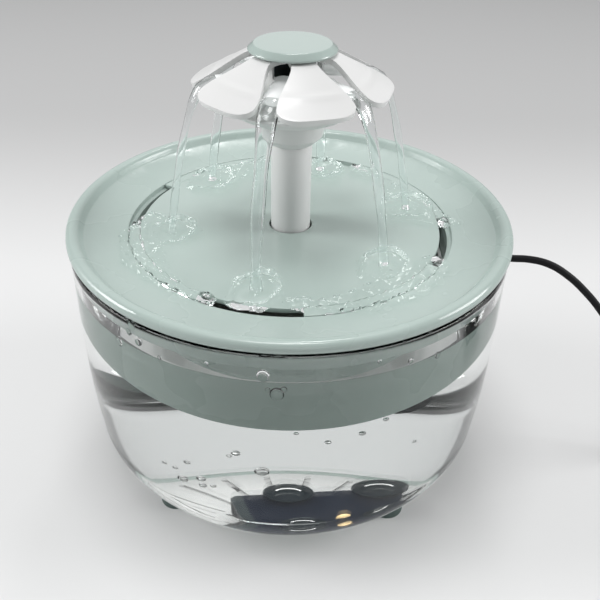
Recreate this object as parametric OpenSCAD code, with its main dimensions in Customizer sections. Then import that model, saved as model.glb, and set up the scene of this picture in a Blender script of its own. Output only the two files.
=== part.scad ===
// Round pet water fountain with a clear bowl, a lift-out tray and a six-petal flower head.
// The origin is on the floor, on the axis of the bowl. +Z is up and the lead leaves towards +X.

/* [Bowl] */
// Outer diameter of the bowl at its rim
bowl_d = 188.4; // [184:0.2:188.6]
// Height of the bowl from its base ring to its rim
bowl_h = 113; // [108:1:118]
// Thickness of the clear wall
bowl_wall = 2.3; // [1.8:0.1:2.6]
// How far the wall draws in above the bottom corner
bowl_draw = 1.8; // [0.8:0.1:2.4]
// Width of the rounded bottom corner
corner_w = 28; // [22:1:30]
// Height of the rounded bottom corner
corner_h = 25; // [20:1:30]
// Rise of the base in the middle of the bowl
base_rise = 3.8; // [2:0.2:6]
// Height of the feet below the base ring
foot_h = 2; // [1.5:0.1:3]
// Diameter of one foot
foot_d = 15; // [10:0.5:18]
// Distance of the feet's centres inwards from the rim
foot_inset = 18.7; // [18:0.1:24]

/* [Tray] */
// How far the lip stands out past the rim of the bowl
lip_over = 0.8; // [0.5:0.1:2]
// Width of the rounded lip
lip_w = 5; // [4.4:0.1:6]
// Height of the lip above the rim of the bowl
lip_h = 5.5; // [4.8:0.1:7]
// Shadow gap between the lip and the rim
lip_gap = 0.8; // [0.4:0.1:1.4]
// Depth of the dish from the lip's inner foot to the drain cover
dish_depth = 3.5; // [2.4:0.1:4]
// Thickness of the dish
dish_t = 2.4; // [2:0.1:2.8]
// Depth of the skirt that centres the tray in the bowl
skirt_h = 7; // [5:0.5:8]
// Thickness of the skirt
skirt_t = 2; // [1.5:0.1:2.4]
// Gap between the drum below the dish and the wall of the bowl
drum_gap = 21.5; // [20:0.1:25]
// Wall of the drum
drum_wall = 2.2; // [1.8:0.1:2.6]
// Depth of the drum's lower edge below the rim of the bowl
drum_depth = 49; // [45:0.5:53]

/* [Basket and filter] */
// Wall of the filter basket
basket_wall = 1.5; // [1.2:0.1:2]
// Thickness of the basket's slotted floor
basket_floor = 2; // [1.6:0.1:2.6]
// Height of the basket
basket_h = 34; // [28:1:40]
// Width of the slots in the basket's floor
strainer_slot_w = 2.4; // [1.6:0.1:3]
// Number of long slots in the basket's floor
strainer_slots = 24; // [16:4:32]
// Height of the filter cartridge
filter_h = 16; // [14:0.5:20]
// Wall of the filter cartridge
filter_wall = 1.2; // [1:0.1:1.6]
// Thickness of the felt on top of the cartridge
felt_t = 4.4; // [3:0.1:5]
// Radius of the hole through the cartridge
filter_hole_r = 11; // [10:0.2:13]

/* [Drain cover] */
// Thickness of the drain cover
cover_t = 2.2; // [1.8:0.1:2.6]
// Width of the ledge that carries the drain cover
ledge_w = 1.8; // [1.2:0.1:2]
// Width of one drain notch
notch_w = 4.7; // [3.5:0.1:6]
// Angle that one drain notch covers
notch_span = 35; // [25:1:45]
// Direction of the first drain notch
notch_turn = -13; // [-45:1:45]

/* [Stem and flower] */
// Outer diameter of the stem tube
tube_d = 17; // [16:0.2:18]
// Wall of the stem tube
tube_wall = 2; // [1.6:0.1:2.4]
// Height of the tube's top above the rim of the bowl
stem_rise = 45; // [43:0.5:47]
// Outer diameter of the collar under the flower
collar_d = 26; // [24:0.5:28]
// Diameter of the saucer under the petals
saucer_d = 54; // [46:1:60]
// Number of petals
petals = 6; // [5:1:6]
// Direction of the first petal
petal_turn = -75; // [-90:1:0]
// Radius that the petals reach
petal_reach = 39.5; // [37:0.5:43]
// Width of a petal at its root
petal_root_w = 9.6; // [8:0.2:11]
// Greatest width of a petal
petal_w = 29.8; // [26:0.2:31]
// Radius of a petal's two end corners
petal_corner_r = 6.5; // [5:0.1:8]
// How far a petal droops from its root to its end
petal_drop = 12.7; // [9:0.1:15]
// Thickness of a petal
petal_t = 2.6; // [2:0.1:3.2]
// Outer diameter of the hub that carries the petals
hub_d = 24; // [22:0.5:26]
// Height of the hub above the collar
hub_h = 21.4; // [19:0.2:23]
// Width of a spout window in the hub
window_w = 6.4; // [5:0.2:7]
// Height of a spout window in the hub
window_h = 7.6; // [6:0.2:9]
// Diameter of the cap
cap_d = 34.9; // [30:0.1:38]
// Thickness of the cap
cap_t = 2.9; // [2.4:0.1:4]

/* [Pump] */
// Length of the pump body without its intake cover
pump_l = 57.5; // [55:0.5:60]
// Width of the pump body
pump_w = 43; // [40:0.5:46]
// Height of the pump with its bottom plate
pump_h = 18; // [17:0.2:19]
// Thickness of the pump's bottom plate
plate_t = 2; // [1.6:0.1:2.4]
// Depth of the intake cover
intake_l = 4.5; // [3.8:0.1:6]
// Turn of the pump about the outlet
pump_turn = 10; // [0:1:20]
// Bore of the impeller chamber
chamber_r = 6.2; // [6:0.1:6.3]
// Number of impeller blades
blades = 6; // [4:1:8]
// Radius of the ceramic shaft
shaft_r = 1; // [0.8:0.1:1.2]
// Radius of the outlet nipple
nipple_r = 5; // [4.6:0.1:5.2]
// Height of the suction cups
cup_h = 4.4; // [3.6:0.2:5.5]
// Diameter of the suction cups
cup_d = 19; // [16:0.5:21]

/* [Lead] */
// Diameter of the lead
lead_d = 3.2; // [2.8:0.1:3.6]
// Direction in which the lead leaves the bowl
lead_turn = -8; // [-12:1:-4]
// Mean diameter of the stored coil
coil_d = 36; // [32:1:40]

/* [Hidden] */
$fn = 96;

seat_gap = 0.3;
run_gap = 0.1;
cut = 1;

// Levels and radii of the bowl
base_z = foot_h;
rim_z = base_z + bowl_h;
rim_r = bowl_d / 2;
low_r = rim_r - bowl_draw;
belly_r = rim_r + 0.3;
belly_z = rim_z - bowl_h / 3;
corner_r = low_r - corner_w;
rim_in_r = rim_r - bowl_wall;
foot_ring_r = rim_r - foot_inset;
foot_turns = [-132, -53, 48, 127];

// Levels and radii of the tray
lip_r = rim_r + lip_over;
lip_top = rim_z + lip_h;
skirt_r = rim_in_r - seat_gap;
dish_r = lip_r - lip_w - 1;
drum_out_r = rim_in_r - drum_gap;
drum_r = drum_out_r - drum_wall;
drum_z = rim_z - drum_depth;
ledge_r = drum_r + ledge_w;
dish_z = lip_top - 2.8 - dish_depth;
ledge_z = dish_z - cover_t;
drum_lip_w = 2;
drum_lip_t = 1.2;

// Basket, filter and cover
basket_r = drum_r - 0.5;
basket_seat_z = drum_z + drum_lip_t;
basket_floor_z = drum_z + basket_floor;
filter_r = basket_r - basket_wall - 0.5;
filter_z = basket_floor_z + seat_gap;
boss_r = 10;
boss_top = basket_floor_z + 0.6;
cover_r = ledge_r - 0.4;

// Stem and flower
tube_r = tube_d / 2;
tube_in_r = tube_r - tube_wall;
collar_r = collar_d / 2;
tube_top = rim_z + stem_rise;
collar_sock = 7.5;
collar_cone = 3.5;
collar_z = tube_top - collar_sock;
collar_top = tube_top + 8;
saucer_dip = 4.5;
spigot_h = 5;
hub_r = hub_d / 2;
hub_wall = 2.5;
hub_top = collar_top + hub_h;
window_z = hub_top - window_h - 1.2;
petal_root_z = hub_top - 0.4;
cap_r = cap_d / 2;

// Pump, in its own frame: the outlet is at the origin and the rotor lies along X
pump_x0 = -14;
pump_y0 = -pump_w / 2 - 2.5;
pump_z0 = drum_z - pump_h;
plate_top = pump_z0 + plate_t;
axis_z = (plate_top + drum_z) / 2;
chamber_x0 = -5;
chamber_x1 = 5;
chamber_cover_r = 7;
chamber_cover_t = 3;
impeller_r = chamber_r - 0.7;
well_r = 5.2;
well_x1 = 26;
magnet_r = well_r - 0.6;
magnet_x0 = chamber_x1 + 0.2;
magnet_x1 = well_x1 - 1.8;
shaft_x0 = chamber_x0 - 2;
shaft_x1 = well_x1 + 1.5;
core_x0 = 8;
core_x1 = 38;
core_leg = 4.4;
core_y = 11.6;
core_h = 8;
coil_box = [10.7, 12.6, 13.4];
coil_x0 = 30.3;
outlet_r = nipple_r - 2;
nipple_top = boss_top + 10.4;
bushing_r = tube_in_r - run_gap;
lens_at = [20.3, -11.2];
lens_r = 3;
cup_at = [[3, 14.5], [36, 14.5], [3, -19.5], [36, -19.5]];
gland_at = [pump_x0 + pump_l, 13, axis_z - 1];

// Lead: it runs from the pump up between drum and wall to the notch, then down to the floor and
// into the coil. Each row of a route gives a place and the share of the climb or drop done there
lead_r = lead_d / 2;
lead_z = rim_z - 9.6;
notch_r = 2.8;
grommet_in_r = rim_in_r - 1.9;
grommet_out_r = rim_r + 1.4;
riser_r = rim_in_r - 10.4;
climb = lead_z - gland_at[2];
drop = lead_z - lead_r;
pump_lead_route = concat(
    [[39.1, 20.1, gland_at[2]], [47, 21.5, gland_at[2]]],
    [for (p = [[0.825, 25.7, 0.03], [0.9, 20.6, 0.08], [0.957, 14.9, 0.18], [0.984, 9.4, 0.31],
            [0.995, 4.8, 0.48], [1, 1.5, 0.68], [1, 0, 0.87]])
        at_turn(p[0] * riser_r, lead_turn + p[1], gland_at[2] + p[2] * climb)],
    [for (p = [[0.5, 0.92], [1.9, 0.96], [4, 0.99], [6.4, 1], [8.1, 1]])
        at_turn(riser_r + p[0], lead_turn, gland_at[2] + p[1] * climb)]);
usb_lead_route = [for (p = [[-4.2, 1], [3.3, 1.002], [10.1, 1.004], [18.5, 0.99], [27.6, 0.942],
        [37.1, 0.866], [45.2, 0.784], [52.8, 0.688], [59.8, 0.577], [66.8, 0.455], [73.8, 0.33],
        [80.8, 0.212], [88.8, 0.106], [97.3, 0.037], [106.8, 0.006], [114.8, 0], [123.7, 0]])
    at_turn(rim_r + p[0], lead_turn, lead_r + p[1] * drop)];
lead_end = usb_lead_route[len(usb_lead_route) - 1];
coil_turns_wide = 3;
coil_turns_high = 4;
coil_out_r = coil_d / 2 + lead_d * (coil_turns_wide - 1) / 2;
coil_at = lead_end + coil_out_r * [-sin(lead_turn), cos(lead_turn), 0];
lead_tail_route = [for (p = [[0, 11.2], [5.4, 11.2], [10.9, 10.8], [16.9, 9.3], [23.4, 7], [29.9, 5],
        [35.4, 4.2], [40.4, 4], [43.4, 4]])
    [coil_at[0] + coil_out_r, coil_at[1] + p[0], p[1]]];
plug_at = lead_tail_route[len(lead_tail_route) - 1];
plug_size = [15.6, 21, 8];
plug_neck_l = 6;
shell_size = [12, 12, 4.5];
shell_t = 0.4;

function arc_points(cx, cy, rx, ry, a0, a1, n) =
    [for (i = [0:n]) let (a = a0 + (a1 - a0) * i / n) [cx + rx * cos(a), cy + ry * sin(a)]];

function at_turn(r, turn, z) = [r * cos(turn), r * sin(turn), z];

function reversed(list) = [for (i = [len(list) - 1:-1:0]) list[i]];

// Outer line of the bowl from the axis to the rim, moved outwards by grow
function bowl_line(grow) = concat(
    [for (i = [0:7]) [corner_r * i / 8, base_z + base_rise * (1 - pow(i / 8, 2)) - grow]],
    arc_points(corner_r, base_z + corner_h, corner_w + grow, corner_h + grow, -90, 0, 14),
    [[(low_r + belly_r) / 2 + grow + 0.4, base_z + 0.372 * bowl_h], [belly_r + grow, belly_z], [rim_r + grow, rim_z]]);

// Height of the dish at a distance from the axis
function dish_at(r) = dish_z + dish_depth * pow(max(0, r - ledge_r) / (dish_r - ledge_r), 2);

// Height of the petals' upper face at a distance from the axis
function petal_at(r) = petal_root_z - petal_drop * pow((r - hub_r) / (petal_reach - hub_r), 1.4);

module bowl() {
    color("lightcyan", 0.4)
    difference() {
        rotate_extrude()
            polygon(concat(bowl_line(0), reversed(bowl_line(-bowl_wall))));
        rotate([0, 0, lead_turn])
            rim_notch(notch_r);
    }
}

// U-shaped opening in the rim, with its round end under the lead
module rim_notch(r) {
    translate([rim_r - 10, 0, lead_z])
        rotate([0, 90, 0])
            cylinder(r = r, h = 20);
    translate([rim_r - 10, -r, lead_z])
        cube([20, 2 * r, rim_z - lead_z + cut]);
}

module foot_pads() {
    color("darkslategray")
    difference() {
        for (turn = foot_turns)
            rotate([0, 0, turn])
                translate([foot_ring_r, 0, 0])
                    cylinder(d = foot_d, h = corner_h / 2, $fn = 48);
        rotate_extrude()
            polygon(concat(bowl_line(run_gap), [[0, rim_z]]));
    }
}

module tray() {
    lip_mid = rim_z + lip_h / 2 + 0.3;
    lip_line = concat(
        arc_points(lip_r - 2.4, lip_mid, 2.4, lip_top - lip_mid, -58, 90, 8),
        arc_points(lip_r - lip_w + 1.6, lip_top - 2, 1.6, 2, 90, 180, 4),
        [[dish_r, dish_z + dish_depth]]);
    dish_steps = 6;
    dish_line = [for (i = [1:dish_steps]) let (r = dish_r - (dish_r - ledge_r) * i / dish_steps) [r, dish_at(r)]];
    under_line = [for (i = [0:dish_steps - 1])
        let (r = drum_out_r + (skirt_r - skirt_t - drum_out_r) * i / dish_steps) [r, dish_at(r) - dish_t]];
    color("lightsteelblue")
    rotate_extrude()
        polygon(concat(
            [[skirt_r, rim_z - skirt_h], [skirt_r, rim_z], [rim_r - 1.3, rim_z], [rim_r - 1.3, rim_z + lip_gap]],
            lip_line,
            dish_line,
            [[ledge_r, ledge_z], [drum_r, ledge_z], [drum_r, basket_seat_z],
                [drum_r - drum_lip_w, basket_seat_z], [drum_r - drum_lip_w, drum_z], [drum_out_r, drum_z]],
            under_line,
            [[skirt_r - skirt_t, rim_z], [skirt_r - skirt_t, rim_z - skirt_h]]));
}

module filter_basket() {
    floor_r = drum_r - drum_lip_w - seat_gap;
    slot_r = 0.455 * floor_r;
    color("white")
    difference() {
        rotate_extrude()
            polygon([[boss_r + seat_gap, drum_z], [floor_r, drum_z], [floor_r, basket_seat_z],
                [basket_r, basket_seat_z], [basket_r, drum_z + basket_h],
                [basket_r - basket_wall, drum_z + basket_h], [basket_r - basket_wall, basket_floor_z],
                [boss_r + seat_gap, basket_floor_z]]);
        for (i = [0:strainer_slots - 1])
            rotate([0, 0, (i + 0.5) * 360 / strainer_slots])
                translate([slot_r, -strainer_slot_w / 2, drum_z - cut])
                    cube([floor_r - 4 - slot_r, strainer_slot_w, basket_floor + 2 * cut]);
        for (i = [0:strainer_slots / 2 - 1])
            rotate([0, 0, i * 720 / strainer_slots])
                translate([boss_r + 4, -strainer_slot_w / 2, drum_z - cut])
                    cube([slot_r - boss_r - 7, strainer_slot_w, basket_floor + 2 * cut]);
    }
}

module filter_case() {
    color("whitesmoke")
    difference() {
        rotate_extrude()
            polygon([[filter_hole_r, filter_z], [filter_r, filter_z], [filter_r, filter_z + filter_h],
                [filter_r - filter_wall, filter_z + filter_h], [filter_r - filter_wall, filter_z + filter_wall],
                [filter_hole_r + filter_wall, filter_z + filter_wall],
                [filter_hole_r + filter_wall, filter_z + filter_h], [filter_hole_r, filter_z + filter_h]]);
        for (share = [0.37, 0.58, 0.79])
            for (i = [0:5])
                rotate([0, 0, 60 * i + 68 * share])
                    translate([share * filter_r, 0, filter_z - cut])
                        cylinder(r = 3.5, h = filter_wall + 2 * cut, $fn = 32);
    }
}

// Ring of filter medium between the cartridge's two walls
module filter_layer(z0, z1) {
    rotate_extrude()
        translate([filter_hole_r + filter_wall + seat_gap, z0])
            square([filter_r - filter_hole_r - 2 * (filter_wall + seat_gap), z1 - z0]);
}

module carbon_bed() {
    color("dimgray")
    filter_layer(filter_z + filter_wall, filter_z + filter_h - felt_t);
}

module filter_felt() {
    color("ivory")
    filter_layer(filter_z + filter_h - felt_t, filter_z + filter_h);
}

module drain_cover() {
    color("lightsteelblue")
    difference() {
        translate([0, 0, ledge_z])
            cylinder(r = cover_r, h = cover_t, $fn = 128);
        translate([0, 0, ledge_z - cut])
            cylinder(r = tube_r + 0.8, h = cover_t + 2 * cut);
        for (i = [0:3])
            rotate([0, 0, notch_turn + 90 * i - notch_span / 2])
                translate([0, 0, ledge_z - cut])
                    rotate_extrude(angle = notch_span, $fn = 128)
                        translate([cover_r - notch_w, 0])
                            square([notch_w + cut, cover_t + 2 * cut]);
    }
}

module stem_tube() {
    color("white")
    rotate_extrude()
        translate([tube_in_r, boss_top])
            square([tube_wall, tube_top - boss_top]);
}

// Collar that plugs onto the tube, with the shallow saucer round it
module flower_base() {
    socket_r = tube_r + run_gap;
    saucer_r = saucer_d / 2;
    spigot_r = hub_r - hub_wall - seat_gap;
    color("white")
    rotate_extrude()
        polygon([[socket_r, collar_z], [tube_r + 0.8, collar_z], [collar_r, collar_z + collar_cone],
            [collar_r, collar_top - saucer_dip], [saucer_r * 0.74, collar_top - 0.67 * saucer_dip],
            [saucer_r - 0.6, collar_top + 0.13 * saucer_dip], [saucer_r, collar_top + 0.36 * saucer_dip],
            [saucer_r - 1, collar_top + 0.56 * saucer_dip], [saucer_r * 0.74, collar_top - 0.16 * saucer_dip],
            [collar_r + 1, collar_top - 0.36 * saucer_dip], [collar_r, collar_top], [spigot_r, collar_top],
            [spigot_r, collar_top + spigot_h], [tube_in_r, collar_top + spigot_h], [tube_in_r, tube_top],
            [socket_r, tube_top]]);
}

// Plan outline of all petals: each widens from its root to two round corners and a gently curved end
module petal_outline() {
    end_r = petal_w / 3;
    circle(r = hub_r + 1);
    for (i = [0:petals - 1])
        rotate([0, 0, petal_turn + i * 360 / petals])
            hull() {
                translate([hub_r + 2, 0])
                    circle(d = petal_root_w);
                translate([petal_reach - end_r, 0])
                    circle(r = end_r);
                for (side = [-1, 1])
                    translate([petal_reach - petal_corner_r - 0.4, side * (petal_w / 2 - petal_corner_r)])
                        circle(r = petal_corner_r, $fn = 48);
            }
}

// Drooping shell of revolution that the petals are cut from, with a rounded outer edge
module petal_shell() {
    steps = 8;
    reach = petal_reach + cut;
    top_line = [for (i = [0:steps]) let (r = hub_r - 1 + (reach - hub_r + 1) * i / steps) [r, petal_at(max(r, hub_r))]];
    rotate_extrude()
        polygon(concat(top_line, reversed([for (p = top_line) [p[0] - petal_t * 0.35, p[1] - petal_t]])));
}

module flower_petals() {
    color("white")
    difference() {
        union() {
            intersection() {
                petal_shell();
                translate([0, 0, collar_top])
                    linear_extrude(height = hub_top - collar_top)
                        petal_outline();
            }
            translate([0, 0, collar_top])
                cylinder(r = hub_r, h = hub_top - collar_top);
        }
        translate([0, 0, collar_top - cut])
            cylinder(r = hub_r - hub_wall, h = hub_top - collar_top + 2 * cut);
        for (i = [0:petals - 1])
            rotate([0, 0, petal_turn + (i + 0.5) * 360 / petals])
                translate([hub_r / 2, -window_w / 2, window_z])
                    cube([hub_r, window_w, window_h]);
    }
}

// Domed cap with a spigot that plugs into the hub
module flower_cap() {
    spigot_r = hub_r - hub_wall - run_gap;
    edge = 0.9;
    color("lightsteelblue")
    rotate_extrude()
        polygon(concat(
            [[0, hub_top - 1.6], [spigot_r - 0.4, hub_top - 1.6], [spigot_r, hub_top - 1.2], [spigot_r, hub_top]],
            arc_points(cap_r - edge, hub_top + edge, edge, edge, -90, 60, 6),
            [[cap_r * 0.6, hub_top + cap_t - 0.25], [cap_r * 0.3, hub_top + cap_t - 0.05], [0, hub_top + cap_t]]));
}

// Puts a piece of the pump in its place below the drum
module pump_frame() {
    rotate([0, 0, pump_turn])
        children();
}

// Rod or bore along the rotor's axis
module along_rotor(r, x0, x1, sides = 48) {
    translate([x0, 0, axis_z])
        rotate([0, 90, 0])
            cylinder(r = r, h = x1 - x0, $fn = sides);
}

// Plan of the pump with round corners at its closed end, drawn in by inset
module pump_plan(inset = 0) {
    r = 5 - inset;
    x1 = pump_x0 + pump_l - inset;
    y0 = pump_y0 + inset;
    y1 = pump_y0 + pump_w - inset;
    translate([pump_x0, y0])
        square([x1 - pump_x0 - r, y1 - y0]);
    translate([x1 - r - 1, y0 + r])
        square([r + 1, y1 - y0 - 2 * r]);
    for (y = [y0 + r, y1 - r])
        translate([x1 - r, y])
            circle(r = r, $fn = 48);
}

module pump_housing() {
    core_gap = 0.3;
    core_z = axis_z - core_h / 2;
    color("midnightblue")
    pump_frame()
        difference() {
            union() {
                translate([0, 0, plate_top])
                    linear_extrude(height = drum_z - plate_top)
                        pump_plan();
                translate([0, 0, drum_z - cut])
                    cylinder(r = boss_r, h = boss_top - drum_z + cut);
                translate([0, 0, boss_top - cut])
                    cylinder(r = nipple_r, h = nipple_top - boss_top + cut);
            }
            along_rotor(chamber_cover_r + run_gap, pump_x0 - cut, chamber_x0);
            along_rotor(chamber_r, chamber_x0 - cut, chamber_x1);
            along_rotor(well_r, chamber_x1 - cut, well_x1);
            along_rotor(shaft_r + 0.02, well_x1 - cut, shaft_x1);
            translate([0, 0, axis_z])
                cylinder(r = outlet_r, h = nipple_top - axis_z + cut);
            for (side = [-1, 1])
                translate([core_x0 - core_gap, side * (core_y - core_leg / 2) - core_leg / 2 - core_gap, plate_top - cut])
                    cube([core_x1 - core_x0 + 2 * core_gap, core_leg + 2 * core_gap,
                        core_z + core_h + core_gap - plate_top + cut]);
            translate([coil_x0 - core_gap, -core_y, plate_top - cut])
                cube([coil_box[0] + 2 * core_gap, 2 * core_y, axis_z + coil_box[2] / 2 + core_gap - plate_top + cut]);
            translate([gland_at[0] - 1.5, gland_at[1], gland_at[2]])
                rotate([0, 90, 0])
                    cylinder(r = lead_r + run_gap, h = 3, $fn = 32);
        }
}

module pump_bottom_plate() {
    color("midnightblue")
    pump_frame()
        difference() {
            translate([0, 0, pump_z0])
                linear_extrude(height = plate_t)
                    pump_plan();
            translate([lens_at[0], lens_at[1], pump_z0 - cut])
                cylinder(r = lens_r + run_gap, h = plate_t + 2 * cut, $fn = 48);
            for (p = cup_at)
                translate([p[0], p[1], pump_z0 - cut])
                    cylinder(r = 2.1, h = 1.4 + cut, $fn = 32);
        }
}

// Rubber cup with a hollow underside and a peg that plugs into the bottom plate
module suction_cups() {
    cup_r = cup_d / 2;
    color("black")
    pump_frame()
        for (p = cup_at)
            translate([p[0], p[1], pump_z0])
                rotate_extrude($fn = 48)
                    polygon([[0, 1.2], [2, 1.2], [2, 0], [3.2, 0], [3.4, -1], [cup_r * 0.7, -cup_h * 0.5],
                        [cup_r, -cup_h + 0.6], [cup_r, -cup_h], [cup_r - 0.8, -cup_h], [cup_r * 0.62, -cup_h * 0.72],
                        [0, -cup_h * 0.5]]);
}

// Front wall of the impeller chamber, with the inlet holes round the shaft's pocket
module chamber_cover() {
    color("darkslateblue")
    pump_frame()
        difference() {
            along_rotor(chamber_cover_r, chamber_x0 - chamber_cover_t, chamber_x0);
            along_rotor(shaft_r + 0.02, shaft_x0, chamber_x0 + cut);
            for (i = [0:5])
                translate([chamber_x0 - chamber_cover_t - cut, 0, axis_z])
                    rotate([60 * i, 0, 0])
                        translate([0, 3.4, 0])
                            rotate([0, 90, 0])
                                cylinder(r = 1.2, h = chamber_cover_t + 2 * cut, $fn = 24);
        }
}

module impeller() {
    blade_t = 1;
    back_x = chamber_x1 - 1.6;
    color("gold")
    pump_frame()
        difference() {
            union() {
                along_rotor(2.6, chamber_x0 + 1, magnet_x0);
                along_rotor(impeller_r, back_x, back_x + 1);
                for (i = [0:blades - 1])
                    translate([chamber_x0 + 1.4, 0, axis_z])
                        rotate([i * 360 / blades, 0, 0])
                            translate([0, 2, -blade_t / 2])
                                cube([back_x - chamber_x0 - 1.2, impeller_r - 2.2, blade_t]);
            }
            along_rotor(shaft_r + 0.05, chamber_x0, magnet_x0 + cut);
        }
}

module rotor_magnet() {
    color("dimgray")
    pump_frame()
        difference() {
            along_rotor(magnet_r, magnet_x0, magnet_x1);
            along_rotor(shaft_r + 0.05, magnet_x0 - cut, magnet_x1 + cut);
        }
}

module rotor_shaft() {
    color("ivory")
    pump_frame()
        along_rotor(shaft_r, shaft_x0, shaft_x1);
}

// U-shaped laminated core: two legs beside the rotor and a yoke through the coil
module stator_core() {
    color("silver")
    pump_frame()
        translate([0, 0, axis_z - core_h / 2]) {
            for (y = [-core_y, core_y - core_leg])
                translate([core_x0, y, 0])
                    cube([core_x1 - core_x0, core_leg, core_h]);
            translate([core_x1 - core_leg, -core_y, 0])
                cube([core_leg, 2 * core_y, core_h]);
        }
}

module stator_coil() {
    yoke_gap = 0.2;
    color("darkgoldenrod")
    pump_frame()
        difference() {
            translate([coil_x0, -coil_box[1] / 2, axis_z - coil_box[2] / 2])
                cube(coil_box);
            translate([core_x1 - core_leg - yoke_gap, -core_y, axis_z - core_h / 2 - yoke_gap])
                cube([core_leg + 2 * yoke_gap, 2 * core_y, core_h + 2 * yoke_gap]);
        }
}

module indicator_lens() {
    color("navajowhite")
    pump_frame()
        translate([lens_at[0], lens_at[1], pump_z0 - 0.4])
            cylinder(r = lens_r, h = plate_t + 0.4, $fn = 48);
}

// Slotted cap over the inlet end of the pump
module intake_cover() {
    wall = 1.5;
    z0 = pump_z0;
    z1 = drum_z - seat_gap;
    slots = 7;
    pitch = (pump_w - 8) / slots;
    color("slategray")
    pump_frame()
        difference() {
            translate([0, 0, z0])
                linear_extrude(height = z1 - z0)
                    difference() {
                        translate([pump_x0 - intake_l, pump_y0])
                            square([intake_l, pump_w]);
                        for (y = [pump_y0, pump_y0 + pump_w])
                            translate([pump_x0 - intake_l, y])
                                rotate([0, 0, 45])
                                    square(3.2, center = true);
                    }
            translate([pump_x0 - intake_l + wall, pump_y0 + wall + 1, z0 + wall])
                cube([intake_l, pump_w - 2 * wall - 2, z1 - z0 - 2 * wall]);
            for (i = [0:slots - 1])
                translate([pump_x0 - intake_l - cut, pump_y0 + 4 + pitch * (i + 0.5) - 1, z0 + 3])
                    cube([wall + 2 * cut, 2, z1 - z0 - 6]);
        }
}

module intake_sponge() {
    wall = 1.5;
    color("dimgray")
    pump_frame()
        translate([pump_x0 - intake_l + wall, pump_y0 + wall + 1 + seat_gap, pump_z0 + wall + seat_gap])
            cube([intake_l - wall, pump_w - 2 * (wall + 1 + seat_gap), pump_h - 2 * (wall + seat_gap) - seat_gap]);
}

module outlet_bushing() {
    color("gray")
    rotate_extrude()
        translate([nipple_r + 0.02, boss_top])
            square([bushing_r - nipple_r - 0.02, 8]);
}

// Tapered rubber gland where the lead leaves the pump
module pump_gland() {
    gland_l = 6;
    color("black")
    pump_frame()
        translate(gland_at)
            rotate([0, 90, 0])
                difference() {
                    cylinder(r1 = 3.4, r2 = 2.3, h = gland_l, $fn = 32);
                    translate([0, 0, -cut])
                        cylinder(r = lead_r + run_gap, h = gland_l + 2 * cut, $fn = 32);
                }
}

// Rubber grommet in the rim's notch, with a low flange on both sides of the wall
module rim_grommet() {
    flange_r = 4;
    flange_top = rim_z - skirt_h - seat_gap;
    body_r = notch_r - run_gap;
    color("gray")
    rotate([0, 0, lead_turn])
        difference() {
            union() {
                intersection() {
                    rim_notch(body_r);
                    translate([grommet_in_r + 0.2, -body_r, lead_z - body_r])
                        cube([grommet_out_r - grommet_in_r - 0.2, 2 * body_r, flange_top - lead_z + body_r]);
                }
                intersection() {
                    union() {
                        flange(grommet_in_r + 0.2, rim_in_r - 0.3, flange_r);
                        flange(rim_r + 0.4, grommet_out_r, flange_r);
                    }
                    translate([0, -10, 0])
                        cube([rim_r + 10, 20, flange_top]);
                }
            }
            translate([grommet_in_r - cut, 0, lead_z])
                rotate([0, 90, 0])
                    cylinder(r = lead_r + run_gap, h = 12, $fn = 32);
        }
}

// Disc round the lead between two distances from the axis
module flange(r0, r1, r) {
    translate([r0, 0, lead_z])
        rotate([0, 90, 0])
            cylinder(r = r, h = r1 - r0, $fn = 48);
}

// Tube swept along a route, with one ring of eight sides at each point. The route never runs along across
function unit(v) = v / norm(v);

function heading(route, i) = unit(route[min(i + 1, len(route) - 1)] - route[max(i - 1, 0)]);

function ring(p, d, r, across) = let (side = unit(cross(d, across)), up = cross(side, d))
    [for (k = [0:7]) p + r * (cos(45 * k) * side + sin(45 * k) * up)];

module swept_tube(route, r, across = [0, 1, 0]) {
    n = len(route);
    points = [for (i = [0:n - 1]) each ring(route[i], heading(route, i), r, across)];
    walls = [for (i = [0:n - 2]) for (k = [0:7])
        [i * 8 + k, i * 8 + (k + 1) % 8, (i + 1) * 8 + (k + 1) % 8, (i + 1) * 8 + k]];
    first = [for (k = [7:-1:0]) k];
    last = [for (k = [0:7]) (n - 1) * 8 + k];
    polyhedron(points = points, faces = concat([first], walls, [last]));
}

module pump_lead() {
    color("black")
    swept_tube(pump_lead_route, lead_r);
}

module usb_lead() {
    color("black")
    swept_tube(usb_lead_route, lead_r);
}

// Outer form of the turns that store the rest of the lead
module lead_coil() {
    band_w = coil_turns_wide * lead_d;
    band_h = coil_turns_high * lead_d;
    color("black")
    translate([coil_at[0], coil_at[1], 0])
        rotate_extrude()
            translate([coil_d / 2 - band_w / 2, 0])
                square([band_w, band_h]);
}

module lead_tail() {
    color("black")
    swept_tube(lead_tail_route, lead_r, [1, 0, 0]);
}

// Standard flat USB plug: moulded grip with a neck, metal shell and contact tongue, pointing along +Y
module plug_body() {
    r = 2.5;
    color("black")
    translate(plug_at) {
        translate([-plug_size[0] / 2, plug_neck_l, -plug_size[2] / 2])
            linear_extrude(height = plug_size[2])
                union() {
                    translate([r, 0])
                        square([plug_size[0] - 2 * r, plug_size[1]]);
                    translate([0, r])
                        square([plug_size[0], plug_size[1] - r]);
                    for (x = [r, plug_size[0] - r])
                        translate([x, r])
                            circle(r = r, $fn = 32);
                }
        rotate([-90, 0, 0])
            cylinder(r1 = lead_r + 0.6, r2 = lead_r + 1.6, h = plug_neck_l + cut, $fn = 32);
    }
}

module plug_shell() {
    color("silver")
    translate([plug_at[0] - shell_size[0] / 2, plug_at[1] + plug_neck_l + plug_size[1], plug_at[2] - shell_size[2] / 2])
        difference() {
            cube(shell_size);
            translate([shell_t, 2 * shell_t, shell_t])
                cube([shell_size[0] - 2 * shell_t, shell_size[1], shell_size[2] - 2 * shell_t]);
        }
}

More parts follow.
